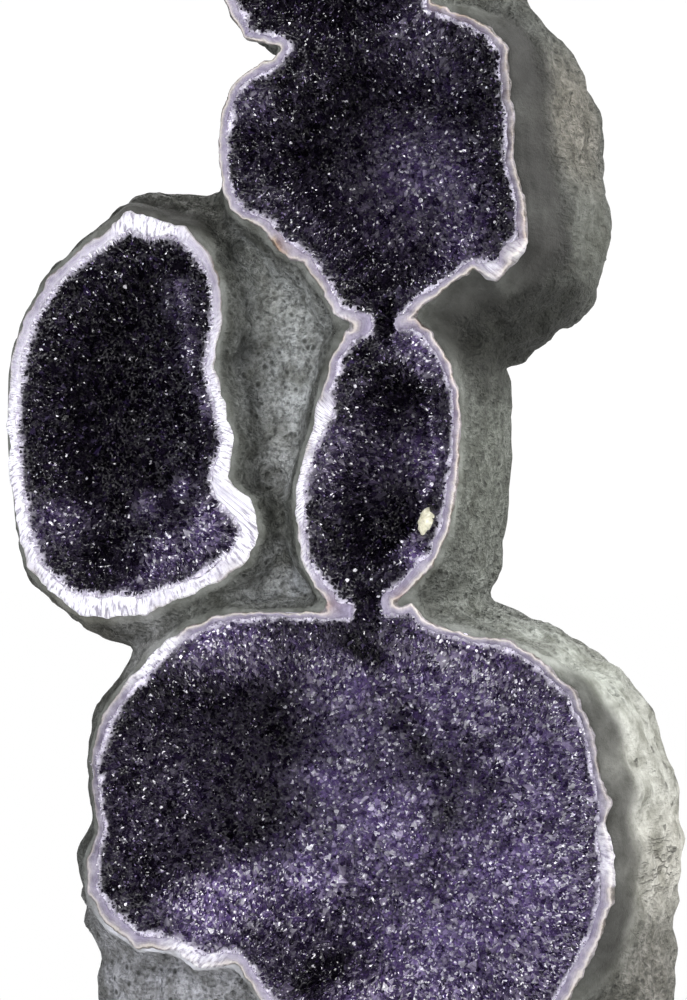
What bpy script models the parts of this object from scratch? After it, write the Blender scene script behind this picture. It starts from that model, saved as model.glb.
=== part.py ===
"""Standing amethyst geode: a lobed basalt nodule sawn open along its front.

The chambers' mouths are drawn on a front sheet in millimetres, across from the sheet's left edge and
down from its top, as they are seen from a viewpoint a little to the right of the front. Sheet points
are carried to the sawn front plane (X and Z, with Y pointing back into the stone).
"""

import math

import bpy
import bmesh
from mathutils import Vector, noise
from mathutils.bvhtree import BVHTree

# Sheet and viewpoint
MM = 0.001
SHEET_WIDTH = 687.0
SHEET_HEIGHT = 1000.0
VIEW_AZIMUTH = math.radians(14.0)
VIEW_DISTANCE = 4.0
BASE_DOWN = 1140.0  # the sawn base, below the sheet's lower edge

# Stone thicknesses and clearances, metres
ROCK_LIP = 0.0035  # rock left round a mouth at the sawn front
PIECE_GAP = 0.0003
LINING_WALL = 0.012
CRUST_WALL = 0.019
CRUST_FRONT_INSET = 0.006
CRUST_LEAST = 0.003
FRONT_OVERRUN = 0.030  # how far the lofts start in front of the sawn face
SKIN_FLAT = math.radians(9.0)  # facets of the rock's skin that bend by less are one facet
SKIN_CHIP = 0.008  # slivers of the rock's skin narrower than this are merged into it
CUT_FLAT = math.radians(0.5)
SEED = 11

# Crystals of the crust
CRYSTAL_HEIGHT = 0.012
CRYSTAL_LEAN = 0.007
CRYSTAL_WANDER = 0.005
CRYSTAL_GRAIN = 0.021  # how quickly the crystals' lean changes from place to place

# A hollow's section along its depth: share of the depth, scale of the outline
HOLLOW_PROFILE = [(0.0, 1.0), (0.30, 1.0), (0.66, 0.86), (0.92, 0.52), (1.0, 0.0)]
PLAIN_RINGS = [(0.30, 1), (0.66, 2), (0.92, 2)]  # share of the depth, every how many points
FULL_SHARE = 0.30
# The same section followed from the middle of the bed to the mouth: way along it, depth share
BED_WAY = [(0.0, 1.0), (0.25, 0.92), (0.50, 0.66), (0.78, 0.30), (1.0, 0.0)]

# The calcite nodule on the middle chamber's wall: across, down, depth, half sizes
KNOB_PLACE = (430, 522, 0.022)
KNOB_SIZE = (0.0125, 0.015, 0.0165)

# Natural lumps of the rock's skin
LUMP_SCALE = 0.085
LUMP_HEIGHT = 0.010

# Mouth outlines, clockwise on the sheet: across, down, agate width, bulge of the rock behind
UPPER_MOUTH = [
    (300, 85, 0, 0), (277, 45, 9, 0), (244, 40, 9, 0), (234, 19, 9, 10), (222, 0, 9, 16),
    (209, -40, 10, 21), (208, -85, 10, 22), (226, -124, 10, 23), (262, -152, 10, 23),
    (305, -165, 10, 42), (350, -165, 10, 44), (392, -150, 10, 48), (424, -122, 10, 52),
    (443, -86, 10, 56), (445, -46, 10, 58), (433, -8, 9, 58), (420, 42, 0, 20), (360, 92, 0, 0),
]
TOP_MOUTH = [
    (272, 58, 9, 0), (312, 12, 0, 0), (400, -12, 0, 0), (430, 2, 9, 24), (464, 12, 8, 34),
    (490, 28, 8, 34), (509, 48, 9, 36), (510, 80, 9, 50), (514, 115, 9, 58), (514, 160, 9, 56),
    (525, 196, 9, 54), (528, 242, 12, 54), (512, 265, 15, 58), (496, 282, 18, 64),
    (474, 269, 10, 80), (448, 288, 8, 84), (423, 305, 10, 64), (402, 326, 11, 30),
    (356, 326, 13, 10), (334, 317, 11, 30), (320, 290, 10, 44), (304, 264, 10, 44),
    (277, 251, 13, 44), (262, 230, 11, 40), (230, 210, 9, 34), (221, 186, 9, 24),
    (218, 140, 9, 20), (222, 108, 8, 20), (232, 84, 9, 8), (251, 68, 9, 0),
]
MIDDLE_MOUTH = [
    (335, 612, 10, 10), (314, 588, 11, 20), (300, 560, 8, 26), (296, 520, 8, 30), (296, 485, 8, 32),
    (304, 450, 10, 34), (313, 425, 12, 36), (317, 402, 18, 36), (325, 377, 8, 36), (333, 354, 8, 36),
    (345, 330, 12, 26), (380, 315, 14, 10), (414, 319, 10, 20), (430, 330, 9, 28), (448, 359, 8, 25),
    (459, 390, 8, 21), (461, 428, 8, 18), (459, 470, 9, 18), (455, 502, 10, 19), (449, 532, 10, 23),
    (438, 560, 10, 31), (420, 581, 12, 42), (398, 600, 12, 30), (366, 614, 10, 10),
]
BOTTOM_MOUTH = [
    (395, 1092, 12, 10), (330, 1072, 12, 10), (283, 1035, 12, 10), (260, 1000, 10, 14),
    (235, 965, 13, 14), (197, 970, 16, 14), (176, 952, 13, 16), (136, 949, 15, 20),
    (105, 925, 14, 32), (88, 893, 10, 34), (86, 858, 12, 34), (98, 834, 7, 34), (92, 790, 7, 34),
    (91, 755, 6, 34), (101, 718, 9, 31), (122, 686, 10, 32), (150, 655, 11, 38), (186, 626, 11, 30),
    (228, 612, 8, 24), (290, 612, 5, 18), (340, 611, 8, 10), (376, 608, 8, 10), (412, 604, 9, 10),
    (430, 623, 8, 22), (472, 635, 6, 20), (512, 641, 8, 15), (545, 663, 8, 12), (575, 691, 8, 20),
    (593, 728, 9, 36), (601, 775, 8, 43), (612, 803, 13, 41), (606, 826, 8, 41), (616, 855, 16, 38),
    (613, 905, 15, 42), (600, 942, 13, 47), (578, 985, 13, 45), (545, 1035, 12, 30),
    (475, 1080, 12, 10),
]
LEFT_MOUTH = [
    (27, 568, 13, 25), (16, 525, 12, 22), (9, 474, 12, 22), (7, 415, 10, 20), (11, 355, 12, 16),
    (24, 318, 11, 14), (47, 278, 12, 18), (75, 252, 11, 26), (108, 228, 13, 26), (128, 210, 18, 26),
    (160, 219, 20, 24), (185, 225, 15, 28), (206, 250, 12, 30), (220, 280, 9, 30),
    (222, 318, 9, 30), (213, 366, 9, 30), (225, 406, 11, 30), (234, 440, 12, 28),
    (229, 480, 20, 26), (250, 501, 26, 22), (260, 532, 20, 20), (246, 563, 19, 18),
    (220, 582, 18, 21), (186, 598, 15, 26), (147, 614, 17, 38), (108, 618, 22, 34),
    (80, 617, 24, 25), (49, 591, 14, 25),
]
SADDLE_FACE = [
    (118, 648, 0, 0), (106, 560, 0, 0), (92, 400, 0, 0), (98, 260, 0, 0), (120, 202, 0, 0),
    (158, 186, 0, 0), (206, 181, 0, 0), (262, 194, 0, 0), (300, 240, 0, 0), (345, 300, 0, 0),
    (372, 380, 0, 0), (360, 480, 0, 0), (345, 560, 0, 0), (330, 640, 0, 0), (262, 674, 0, 0),
    (160, 680, 0, 0),
]
FOOT_FACE = [
    (82, 1160, 0, 0), (68, 1080, 0, 0), (60, 990, 0, 0), (53, 920, 0, 0), (66, 860, 0, 0),
    (140, 820, 0, 0), (260, 800, 0, 0), (360, 790, 0, 0), (470, 800, 0, 0), (560, 820, 0, 0),
    (634, 860, 0, 0), (652, 930, 0, 0), (650, 1000, 0, 0), (640, 1080, 0, 0), (622, 1160, 0, 0),
    (520, 1190, 0, 0), (340, 1200, 0, 0), (180, 1190, 0, 0),
]

# Narrow necks between chambers: agate left, agate right, crystal left, crystal right, top, bottom
UPPER_NECK = (351, 405, 371, 396, 296, 350)
LOWER_NECK = (325, 402, 350, 382, 584, 634)
NECK_DEPTHS = (0.110, 0.085, 0.040)
NECK_CRYSTALS = 0.003

# Chambers: mouth, middle on the sheet, depth of the hollow, cells of the crystal net
CHAMBERS = {
    "top": (TOP_MOUTH, (370, 168), 0.235, 6),
    "upper": (UPPER_MOUTH, (328, -50), 0.170, 4),
    "middle": (MIDDLE_MOUTH, (377, 462), 0.185, 6),
    "bottom": (BOTTOM_MOUTH, (352, 815), 0.285, 9),
    "left": (LEFT_MOUTH, (122, 412), 0.185, 6),
}
# Rock lobes: depth of the lobe and of its girth
LOBES = {
    "top": (0.335, 0.145), "upper": (0.265, 0.120), "middle": (0.290, 0.125),
    "bottom": (0.380, 0.160), "left": (0.275, 0.135),
}

# Swellings of the crystal beds toward the front: across, down, reach, rise
CRYSTAL_SWELLINGS = [
    (405, 190, 70, 26), (417, 452, 30, 24), (415, 553, 14, 16), (180, 335, 34, 26),
    (185, 540, 48, 26), (375, 800, 110, 34), (500, 700, 60, 20), (210, 905, 50, 22),
]

# Pits and furrows of the natural skin, as seen on the sheet: across, down, tall, wide, deep
SKIN_PITS = [
    (588, 118, 22, 8, 7), (596, 180, 32, 7, 7), (592, 236, 20, 9, 8), (566, 296, 18, 10, 8),
    (552, 62, 20, 8, 7), (490, 430, 20, 7, 6), (486, 540, 16, 8, 7), (640, 742, 14, 9, 8),
    (652, 806, 10, 15, 7), (658, 872, 7, 20, 8), (650, 934, 11, 15, 8), (600, 664, 12, 14, 8),
]


def sight_line(across, down):
    """The viewpoint and the direction from it through a sheet point."""
    back = Vector((math.sin(VIEW_AZIMUTH), -math.cos(VIEW_AZIMUTH), 0.0))
    right = Vector((math.cos(VIEW_AZIMUTH), math.sin(VIEW_AZIMUTH), 0.0))
    middle = Vector((0.0, 0.0, (BASE_DOWN - SHEET_HEIGHT / 2) * MM))
    eye = middle + back * VIEW_DISTANCE
    on_sheet = middle + right * ((across - SHEET_WIDTH / 2) * MM)
    on_sheet.z += (SHEET_HEIGHT / 2 - down) * MM
    return eye, on_sheet - eye


def at_depth(across, down, depth):
    """Carry a sheet point, as seen from the viewpoint, to the upright plane at a depth."""
    eye, ray = sight_line(across, down)
    return eye + ray * ((depth - eye.y) / ray.y)


def outward_normals(points):
    """Outward unit normals of a closed outline that runs clockwise seen from the front."""
    normals = []
    count = len(points)
    for i in range(count):
        along = points[(i + 1) % count] - points[i - 1]
        normals.append(Vector((-along.z, 0.0, along.x)).normalized())
    return normals


def shape_ring(rows, centre, push, scale, depth, step=1):
    """One ring of a loft: each row's point pushed along its normal, then drawn to the centre."""
    flat = [at_depth(row[0], row[1], 0.0) for row in rows]
    middle = at_depth(centre[0], centre[1], 0.0)
    normals = outward_normals(flat)
    ring = []
    for row, point, normal in zip(rows[::step], flat[::step], normals[::step]):
        moved = point + normal * push(row)
        moved = middle + (moved - middle) * scale
        ring.append(Vector((moved.x, depth, moved.z)))
    return ring


def add_strip(mesh, first, second):
    """Join two rings with triangles; the second ring has as many points as the first or half."""
    count = len(second)
    if len(first) == count:
        for i in range(count):
            j = (i + 1) % count
            mesh.faces.new((first[i], first[j], second[i]))
            mesh.faces.new((first[j], second[j], second[i]))
        return
    for i in range(count):
        j = (i + 1) % count
        edge = first[2 * i], first[2 * i + 1], first[(2 * i + 2) % len(first)]
        mesh.faces.new((edge[0], edge[1], second[i]))
        mesh.faces.new((edge[1], second[j], second[i]))
        mesh.faces.new((edge[1], edge[2], second[j]))


def add_cap(mesh, ring, middle):
    """Close a ring with a fan of triangles around a middle point."""
    centre = mesh.verts.new(middle)
    for i in range(len(ring)):
        mesh.faces.new((ring[i], ring[(i + 1) % len(ring)], centre))


def make_object(name, mesh, collection):
    """Write a bmesh to a new object with its faces pointing outward."""
    bmesh.ops.recalc_face_normals(mesh, faces=mesh.faces)
    data = bpy.data.meshes.new(name)
    mesh.to_mesh(data)
    mesh.free()
    made = bpy.data.objects.new(name, data)
    collection.objects.link(made)
    return made


def loft(name, rings, cap_depths, collection):
    """A closed body through rings given front to back, with a fan cap at each end."""
    mesh = bmesh.new()
    made = [[mesh.verts.new(point) for point in ring] for ring in rings]
    for first, second in zip(made, made[1:]):
        add_strip(mesh, first, second)
    for ring, depth in ((made[0], cap_depths[0]), (made[-1], cap_depths[1])):
        middle = sum((vert.co for vert in ring), Vector()) / len(ring)
        middle.y = depth
        add_cap(mesh, ring, middle)
    return make_object(name, mesh, collection)


def lump(point):
    """Height of the rock skin's natural lumps at a point."""
    broad = noise.noise(point / LUMP_SCALE)
    fine = noise.noise(point / (LUMP_SCALE * 0.4) + Vector((7.0, 3.0, 1.0)))
    return LUMP_HEIGHT * (broad + 0.5 * fine)


def rock_lobe(name, rows, centre, depth, girth, overrun, collection):
    """A lobe of rock: from the mouth's rim it swells to its girth, then rounds off at the back."""
    def bulged(share):
        return lambda row: ROCK_LIP + share * row[3] * MM

    first = 0.28 * girth
    rest = depth - girth
    stations = [
        (-0.50 * overrun / first, 1.0, -overrun, 1), (0.50, 1.0, first, 1),
        (0.84, 1.0, 0.60 * girth, 1), (1.0, 1.0, girth, 1), (1.0, 0.93, girth + 0.40 * rest, 2),
        (0.95, 0.74, girth + 0.72 * rest, 2), (0.9, 0.44, girth + 0.93 * rest, 2),
    ]
    rings = [shape_ring(rows, centre, bulged(s), k, d, n) for s, k, d, n in stations]
    for ring, station in zip(rings[1:], stations[1:]):
        normals = outward_normals(ring)
        for i, (point, normal) in enumerate(zip(ring, normals)):
            room = min(1.0, rows[i * station[3]][3] / 30.0)
            ring[i] = point + normal * lump(point) * room * station[0]
    return loft(name, rings, (-overrun, depth), collection)


def buried_lobe(name, rows, centre, start, depth, collection):
    """A mass of rock set back from the sawn front, rounded on both sides."""
    span = depth - start
    stations = [
        (0.55, start), (0.82, start + 0.06 * span), (0.97, start + 0.20 * span),
        (1.0, start + 0.45 * span), (0.93, start + 0.72 * span), (0.70, start + 0.92 * span),
    ]
    rings = [shape_ring(rows, centre, lambda row: 0.0, k, d) for k, d in stations]
    for ring in rings:
        normals = outward_normals(ring)
        for i, (point, normal) in enumerate(zip(ring, normals)):
            ring[i] = point + (normal - Vector((0.0, 0.6, 0.0))) * lump(point)
    return loft(name, rings, (start - 0.006, depth), collection)


def between(table, value):
    """Read a table of pairs at a value between its entries."""
    for (low, first), (high, second) in zip(table, table[1:]):
        if value <= high:
            return first + (second - first) * (value - low) / (high - low)
    return table[-1][1]


def wall_push(inset, depth):
    """How far a hollow's wall stands off the mouth's outline, and how deep the hollow goes."""
    thickness = LINING_WALL * min(inset, 1) + CRUST_WALL * max(inset - 1, 0)

    def wall(share):
        def push(row):
            agate = row[2] * MM if inset > 0 else 0.0
            crust = CRUST_FRONT_INSET if inset > 1 else 0.0
            front = -(agate + crust)
            back = 0.22 * row[3] * MM - thickness
            return front + (back - front) * share / FULL_SHARE
        return push
    return wall, depth - thickness


def hollow(name, rows, centre, depth, inset, overrun, collection):
    """A chamber's hollow out to the rock's wall, inset 0, or to the agate's inner face, inset 1."""
    wall, deepest = wall_push(inset, depth)
    run_out = -overrun / deepest
    rings = [shape_ring(rows, centre, wall(run_out), 1.0, -overrun)]
    for share, step in PLAIN_RINGS:
        rings.append(shape_ring(rows, centre, wall(min(FULL_SHARE, share)),
                                between(HOLLOW_PROFILE, share), share * deepest, step))
    return loft(name, rings, (-overrun, deepest), collection)


def reach(outline, middle, angle):
    """Distance from the middle to an outline in one direction of the sheet's plane."""
    way = Vector((math.cos(angle), 0.0, math.sin(angle)))
    best = 0.0
    for start, end in zip(outline, outline[1:] + outline[:1]):
        side = end - start
        cross = way.x * side.z - way.z * side.x
        if abs(cross) < 1e-9:
            continue
        gap = start - middle
        along = (gap.x * side.z - gap.z * side.x) / cross
        share = (gap.x * way.z - gap.z * way.x) / cross
        if along > best and -1e-6 <= share <= 1.0 + 1e-6:
            best = along
    return best


def clear_reach(outline, middle, angle, cells):
    """The least reach over the width of one cell, so that no side of a cell leaves the outline."""
    half_cell = math.pi / 4 / cells
    return min(reach(outline, middle, angle + shift) for shift in (-half_cell, 0.0, half_cell))


def crystal_bed(name, rows, centre, depth, cells, overrun, collection):
    """A chamber's hollow as far as the crystals: an even net drawn over it, then the crystals."""
    wall, deepest = wall_push(2, depth)
    middle = at_depth(centre[0], centre[1], 0.0)
    rim = [shape_ring(rows, centre, wall(share), 1.0, 0.0, step)
           for share, step in ((0.0, 1), (FULL_SHARE, 1), (FULL_SHARE, 2))]
    mesh = bmesh.new()
    bmesh.ops.create_cube(mesh, size=2.0)
    bmesh.ops.subdivide_edges(mesh, edges=mesh.edges, cuts=cells - 1, use_grid_fill=True)
    for vert in mesh.verts:
        way = vert.co.normalized()
        along = math.acos(max(-1.0, min(1.0, way.y))) / (math.pi / 2)
        angle = math.atan2(way.z, way.x)
        near, full, spare = (clear_reach(outline, middle, angle, cells) for outline in rim)
        if along > 1.0:
            out = near * between([(1.0, 1.0), (1.35, 1.0), (2.0, 0.0)], along)
            level = -overrun * min(1.0, (along - 1.0) / 0.35)
        else:
            share = between(BED_WAY, along)
            deep_reach = min(full, spare) if share > FULL_SHARE else full
            part = min(1.0, share / FULL_SHARE)
            out = (near + (deep_reach - near) * part) * between(HOLLOW_PROFILE, share)
            level = share * deepest
        vert.co = middle + Vector((math.cos(angle) * out, level, math.sin(angle) * out))
        if level > 0.012:
            vert.co = roughen(vert.co)
    bmesh.ops.recalc_face_normals(mesh, faces=mesh.faces)
    grow_crystals(mesh)
    return make_object(name, mesh, collection)


def wander(point):
    """A smooth vector that changes from place to place, each part between about -1 and 1."""
    shift = Vector((SEED, 5.3, 2.9))
    return Vector([noise.noise(point + shift * (axis + 1)) for axis in range(3)]) * 1.6


def roughen(point):
    """Shift a point of the crystal bed: it wanders a little and rises on the bed's swellings."""
    moved = point + wander(point / CRYSTAL_GRAIN) * CRYSTAL_WANDER
    for across, down, spread, rise in CRYSTAL_SWELLINGS:
        place = at_depth(across, down, point.y)
        off = math.hypot(point.x - place.x, point.z - place.z) / (spread * MM)
        moved.y -= rise * MM * math.exp(-off * off) * min(1.0, point.y / 0.08)
    return moved


def grow_crystals(mesh):
    """Raise a leaning pyramid on each facet of a hollow's wall, pointing into the hollow."""
    for face in list(mesh.faces):
        middle = face.calc_center_median()
        if middle.y < 0.014:
            continue
        normal = face.normal.copy()
        lean = wander(middle / CRYSTAL_GRAIN + Vector((3.7, 0.0, 0.0)))
        tall = CRYSTAL_HEIGHT * (1.0 + 0.5 * lean.x)
        tip = bmesh.ops.poke(mesh, faces=[face])["verts"][0]
        tip.co += lean * CRYSTAL_LEAN - normal * tall
    bmesh.ops.triangulate(mesh, faces=mesh.faces)


def neck(name, sizes, inset, collection):
    """The slot of a narrow neck between two chambers."""
    agate_left, agate_right, crystal_left, crystal_right, top, bottom = sizes
    left, right = (agate_left, agate_right) if inset == 0 else (crystal_left, crystal_right)
    depth = NECK_DEPTHS[inset]
    narrow = NECK_CRYSTALS if inset > 1 else 0.0
    high = at_depth(left, top, 0.0)
    low = at_depth(right, bottom, 0.0)
    slot = box(name, (high.x + narrow, -FRONT_OVERRUN, low.z), (low.x - narrow, depth, high.z),
               collection)
    bevel = slot.modifiers.new("rounded", "BEVEL")
    bevel.width = 0.3 * (low.x - high.x - 2 * narrow)
    bevel.segments = 1
    bake(slot)
    return slot


def move_to(item, collection):
    """Put an object in one collection only."""
    for old in list(item.users_collection):
        old.objects.unlink(item)
    collection.objects.link(item)


def bake(item):
    """Turn an object's modifiers into its mesh."""
    graph = bpy.context.evaluated_depsgraph_get()
    graph.update()
    data = bpy.data.meshes.new_from_object(item.evaluated_get(graph))
    item.modifiers.clear()
    item.data = data


def combine(item, other, operation, solver="EXACT"):
    """Boolean an object with another and clean the seam."""
    cut = item.modifiers.new(operation.lower(), "BOOLEAN")
    cut.operation = operation
    cut.solver = solver
    cut.object = other
    bake(item)
    mesh = bmesh.new()
    mesh.from_mesh(item.data)
    bmesh.ops.remove_doubles(mesh, verts=mesh.verts, dist=0.00002)
    bmesh.ops.dissolve_degenerate(mesh, edges=mesh.edges, dist=0.00002)
    bmesh.ops.triangulate(mesh, faces=mesh.faces)
    mesh.to_mesh(item.data)
    mesh.free()


def copy_of(item, name, collection):
    """A separate copy of an object's mesh."""
    made = bpy.data.objects.new(name, item.data.copy())
    collection.objects.link(made)
    return made


def swell(item, amount):
    """Move a closed mesh's surface outward along its vertex normals; negative moves inward."""
    mesh = bmesh.new()
    mesh.from_mesh(item.data)
    mesh.normal_update()
    for vert in mesh.verts:
        vert.co += vert.normal * amount * vert.calc_shell_factor()
    mesh.to_mesh(item.data)
    mesh.free()


def box(name, low, high, collection):
    """A box between two corners."""
    bpy.ops.mesh.primitive_cube_add(size=1.0)
    made = bpy.context.object
    made.name = name
    made.scale = [b - a for a, b in zip(low, high)]
    made.location = [(a + b) / 2 for a, b in zip(low, high)]
    bpy.ops.object.transform_apply(location=True, rotation=False, scale=True)
    move_to(made, collection)
    return made


def join_all(items, name, solver="EXACT"):
    """Union a list of overlapping bodies into the first, which takes the name."""
    whole = items[0]
    for other in items[1:]:
        combine(whole, other, "UNION", solver)
    whole.name = name
    return whole


def keep_largest(item):
    """Drop loose chips: keep the one body with the most corners."""
    mesh = bmesh.new()
    mesh.from_mesh(item.data)
    left = set(mesh.verts)
    bodies = []
    while left:
        body = {left.pop()}
        edge = list(body)
        while edge:
            near = {link.other_vert(vert) for vert in edge for link in vert.link_edges}
            edge = list(near - body)
            body.update(edge)
        left -= body
        bodies.append(body)
    largest = max(bodies, key=len)
    chips = [vert for vert in mesh.verts if vert not in largest]
    bmesh.ops.delete(mesh, geom=chips, context="VERTS")
    mesh.to_mesh(item.data)
    mesh.free()


def merge_flats(item):
    """Merge triangles behind the sawn front that lie in one plane, then cut them as few again."""
    mesh = bmesh.new()
    mesh.from_mesh(item.data)
    inner = [edge for edge in mesh.edges if max(vert.co.y for vert in edge.verts) > PIECE_GAP]
    bmesh.ops.dissolve_limit(mesh, angle_limit=CUT_FLAT, verts=mesh.verts, edges=inner)
    bmesh.ops.triangulate(mesh, faces=mesh.faces)
    mesh.to_mesh(item.data)
    mesh.free()


def simplify_skin(rock):
    """Merge the slivers where lobes meet, and facets that bend too little to be seen."""
    mesh = bmesh.new()
    mesh.from_mesh(rock.data)
    bmesh.ops.dissolve_degenerate(mesh, edges=mesh.edges, dist=SKIN_CHIP)
    bmesh.ops.dissolve_limit(mesh, angle_limit=SKIN_FLAT, verts=mesh.verts, edges=mesh.edges)
    bmesh.ops.triangulate(mesh, faces=mesh.faces)
    mesh.to_mesh(rock.data)
    mesh.free()


def press_pits(rock, guides):
    """Sink the skin's pits and furrows where the lines of sight meet the rock."""
    for index, (across, down, tall, wide, deep) in enumerate(SKIN_PITS):
        eye, ray = sight_line(across, down)
        skin = BVHTree.FromObject(rock, bpy.context.evaluated_depsgraph_get())
        place, normal = skin.ray_cast(eye, ray.normalized())[:2]
        bpy.ops.mesh.primitive_ico_sphere_add(subdivisions=1, radius=1.0)
        pit = bpy.context.object
        pit.name = f"pit_{index}"
        pit.scale = (wide * MM, deep * MM, tall * MM)
        pit.rotation_euler = (0.25 * math.sin(index * 2.1), 0.0,
                              math.atan2(normal.x, -normal.y))
        pit.location = place + normal * (0.15 * deep * MM)
        bpy.ops.object.transform_apply(location=True, rotation=True, scale=True)
        move_to(pit, guides)
        combine(rock, pit, "DIFFERENCE")


def build_knob(parts, guides):
    """The cream calcite nodule, a lumpy ball half sunk in the crystals."""
    bpy.ops.mesh.primitive_ico_sphere_add(subdivisions=2, radius=1.0)
    knob = bpy.context.object
    knob.name = "calcite_knob"
    knob.scale = KNOB_SIZE
    knob.location = at_depth(*KNOB_PLACE)
    bpy.ops.object.transform_apply(location=True, rotation=False, scale=True)
    for vert in knob.data.vertices:
        vert.co += vert.normal * 0.002 * noise.noise(vert.co / 0.008)
    knob.data.update()
    move_to(knob, parts)
    socket = copy_of(knob, "knob_socket", guides)
    swell(socket, PIECE_GAP)
    return knob, socket


def material(name, colour, roughness):
    """A plain surface with a colour and roughness."""
    made = bpy.data.materials.new(name)
    made.use_nodes = True
    shader = made.node_tree.nodes["Principled BSDF"]
    shader.inputs["Base Color"].default_value = (*colour, 1.0)
    shader.inputs["Roughness"].default_value = roughness
    shader.inputs["Metallic"].default_value = 0.0
    return made


def make_hollows(inset, guides):
    """The connected hollow's bodies and the side hollow at one inset from the rock's wall."""
    lead = FRONT_OVERRUN + 0.004 * inset
    made = {}
    for index, (name, (rows, centre, depth, cells)) in enumerate(CHAMBERS.items()):
        start = lead + 0.001 * index
        if inset < 2:
            made[name] = hollow(name + "_hollow", rows, centre, depth, inset, start, guides)
        else:
            made[name] = crystal_bed(name + "_bed", rows, centre, depth, cells, start, guides)
    side = made.pop("left")
    bodies = [made["top"], made["upper"], neck("upper_neck", UPPER_NECK, inset, guides),
              made["middle"], neck("lower_neck", LOWER_NECK, inset, guides), made["bottom"]]
    return join_all(bodies, "connected_hollow", "MANIFOLD" if inset > 1 else "EXACT"), side


def build_rock(hollows, block, parts, guides):
    """The basalt's lobes, saddle and foot in one solid, sawn flat at the front and the base."""
    lobes = []
    for index, (name, (depth, girth)) in enumerate(LOBES.items()):
        rows, centre = CHAMBERS[name][:2]
        lobes.append(rock_lobe(name + "_lobe", rows, centre, depth, girth,
                               FRONT_OVERRUN + 0.001 * index, guides))
    lobes.append(buried_lobe("saddle", SADDLE_FACE, (235, 425), 0.058, 0.262, guides))
    lobes.append(buried_lobe("foot", FOOT_FACE, (350, 1000), 0.026, 0.345, guides))
    rock = join_all(lobes, "basalt_shell")
    move_to(rock, parts)
    simplify_skin(rock)
    combine(rock, block, "INTERSECT")
    for hollow_body in hollows:
        combine(rock, hollow_body, "DIFFERENCE")
    keep_largest(rock)
    press_pits(rock, guides)
    return rock


def build():
    """Model every piece and stand the geode on its base."""
    for old in list(bpy.data.objects):
        bpy.data.objects.remove(old)
    parts = bpy.data.collections.new("amethyst_geode")
    guides = bpy.data.collections.new("cutters")
    bpy.context.scene.collection.children.link(parts)
    bpy.context.scene.collection.children.link(guides)

    block = box("sawn_block", (-1.0, 0.0, 0.0), (1.0, 0.6, 1.6), guides)
    outer, outer_side = make_hollows(0, guides)
    inner, inner_side = make_hollows(1, guides)
    open_air, open_side = make_hollows(2, guides)
    rock = build_rock((outer, outer_side), block, parts, guides)
    knob, socket = build_knob(parts, guides)
    made = [rock, knob]
    for prefix, wall, bed, air in (("main", outer, inner, open_air),
                                   ("side", outer_side, inner_side, open_side)):
        lining = copy_of(wall, f"{prefix}_agate_lining", parts)
        swell(lining, -PIECE_GAP)
        combine(lining, bed, "DIFFERENCE")
        combine(lining, block, "INTERSECT")
        crust = copy_of(bed, f"{prefix}_crystal_crust", parts)
        swell(crust, -PIECE_GAP)
        room = copy_of(bed, f"{prefix}_crust_room", guides)
        swell(room, -CRUST_LEAST)
        combine(air, room, "INTERSECT", "MANIFOLD")
        combine(crust, block, "INTERSECT", "MANIFOLD")
        combine(crust, air, "DIFFERENCE", "MANIFOLD")
        combine(crust, socket, "DIFFERENCE", "MANIFOLD")
        made += [lining, crust]

    looks = {
        "basalt_shell": ((0.10, 0.11, 0.10), 0.85),
        "main_agate_lining": ((0.62, 0.56, 0.66), 0.45),
        "side_agate_lining": ((0.72, 0.70, 0.76), 0.45),
        "main_crystal_crust": ((0.035, 0.022, 0.075), 0.20),
        "side_crystal_crust": ((0.030, 0.020, 0.060), 0.20),
        "calcite_knob": ((0.68, 0.66, 0.52), 0.60),
    }
    corners = [item.matrix_world @ Vector(corner) for item in made for corner in item.bound_box]
    middle_x = (min(c.x for c in corners) + max(c.x for c in corners)) / 2
    middle_y = (min(c.y for c in corners) + max(c.y for c in corners)) / 2
    for item in made:
        keep_largest(item)
        merge_flats(item)
        colour, roughness = looks[item.name]
        item.data.materials.clear()
        item.data.materials.append(material(item.name, colour, roughness))
        for vert in item.data.vertices:
            vert.co.x -= middle_x
            vert.co.y -= middle_y
        item.data.update()
        print(item.name, len(item.data.polygons), "triangles")
    print("moved by", round(middle_x, 5), round(middle_y, 5))
    for guide in list(guides.objects):
        guide.hide_render = True
        guide.display_type = "WIRE"
    return middle_x, middle_y


MOVED = build()
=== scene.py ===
"""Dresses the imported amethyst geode: rock skin, agate rims, crystal beds and the calcite nodule.

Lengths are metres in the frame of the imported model: X to the right, Y into the stone, Z up. Places that
are easier to point at on the sawn face are given on a front sheet in millimetres, across from its left
edge and down from its top, as they are seen from a little to the right of the front.
"""

import logging
import math
from dataclasses import dataclass
from enum import Enum
from typing import Callable

import bmesh
import bpy
import numpy as np
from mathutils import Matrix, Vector, noise
from mathutils.bvhtree import BVHTree


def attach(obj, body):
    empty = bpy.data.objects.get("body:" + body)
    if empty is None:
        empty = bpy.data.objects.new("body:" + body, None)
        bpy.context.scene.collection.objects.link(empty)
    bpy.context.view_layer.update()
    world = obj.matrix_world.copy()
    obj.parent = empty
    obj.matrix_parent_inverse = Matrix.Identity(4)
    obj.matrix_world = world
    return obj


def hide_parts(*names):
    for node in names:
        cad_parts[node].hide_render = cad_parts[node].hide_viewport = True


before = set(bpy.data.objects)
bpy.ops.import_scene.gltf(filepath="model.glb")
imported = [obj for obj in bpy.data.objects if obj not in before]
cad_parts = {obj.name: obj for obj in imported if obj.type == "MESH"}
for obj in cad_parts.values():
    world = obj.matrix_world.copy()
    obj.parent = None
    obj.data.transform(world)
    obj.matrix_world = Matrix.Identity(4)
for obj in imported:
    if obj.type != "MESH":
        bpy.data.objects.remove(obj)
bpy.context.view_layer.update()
FRONT = -0.19
MM = 0.001
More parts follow.
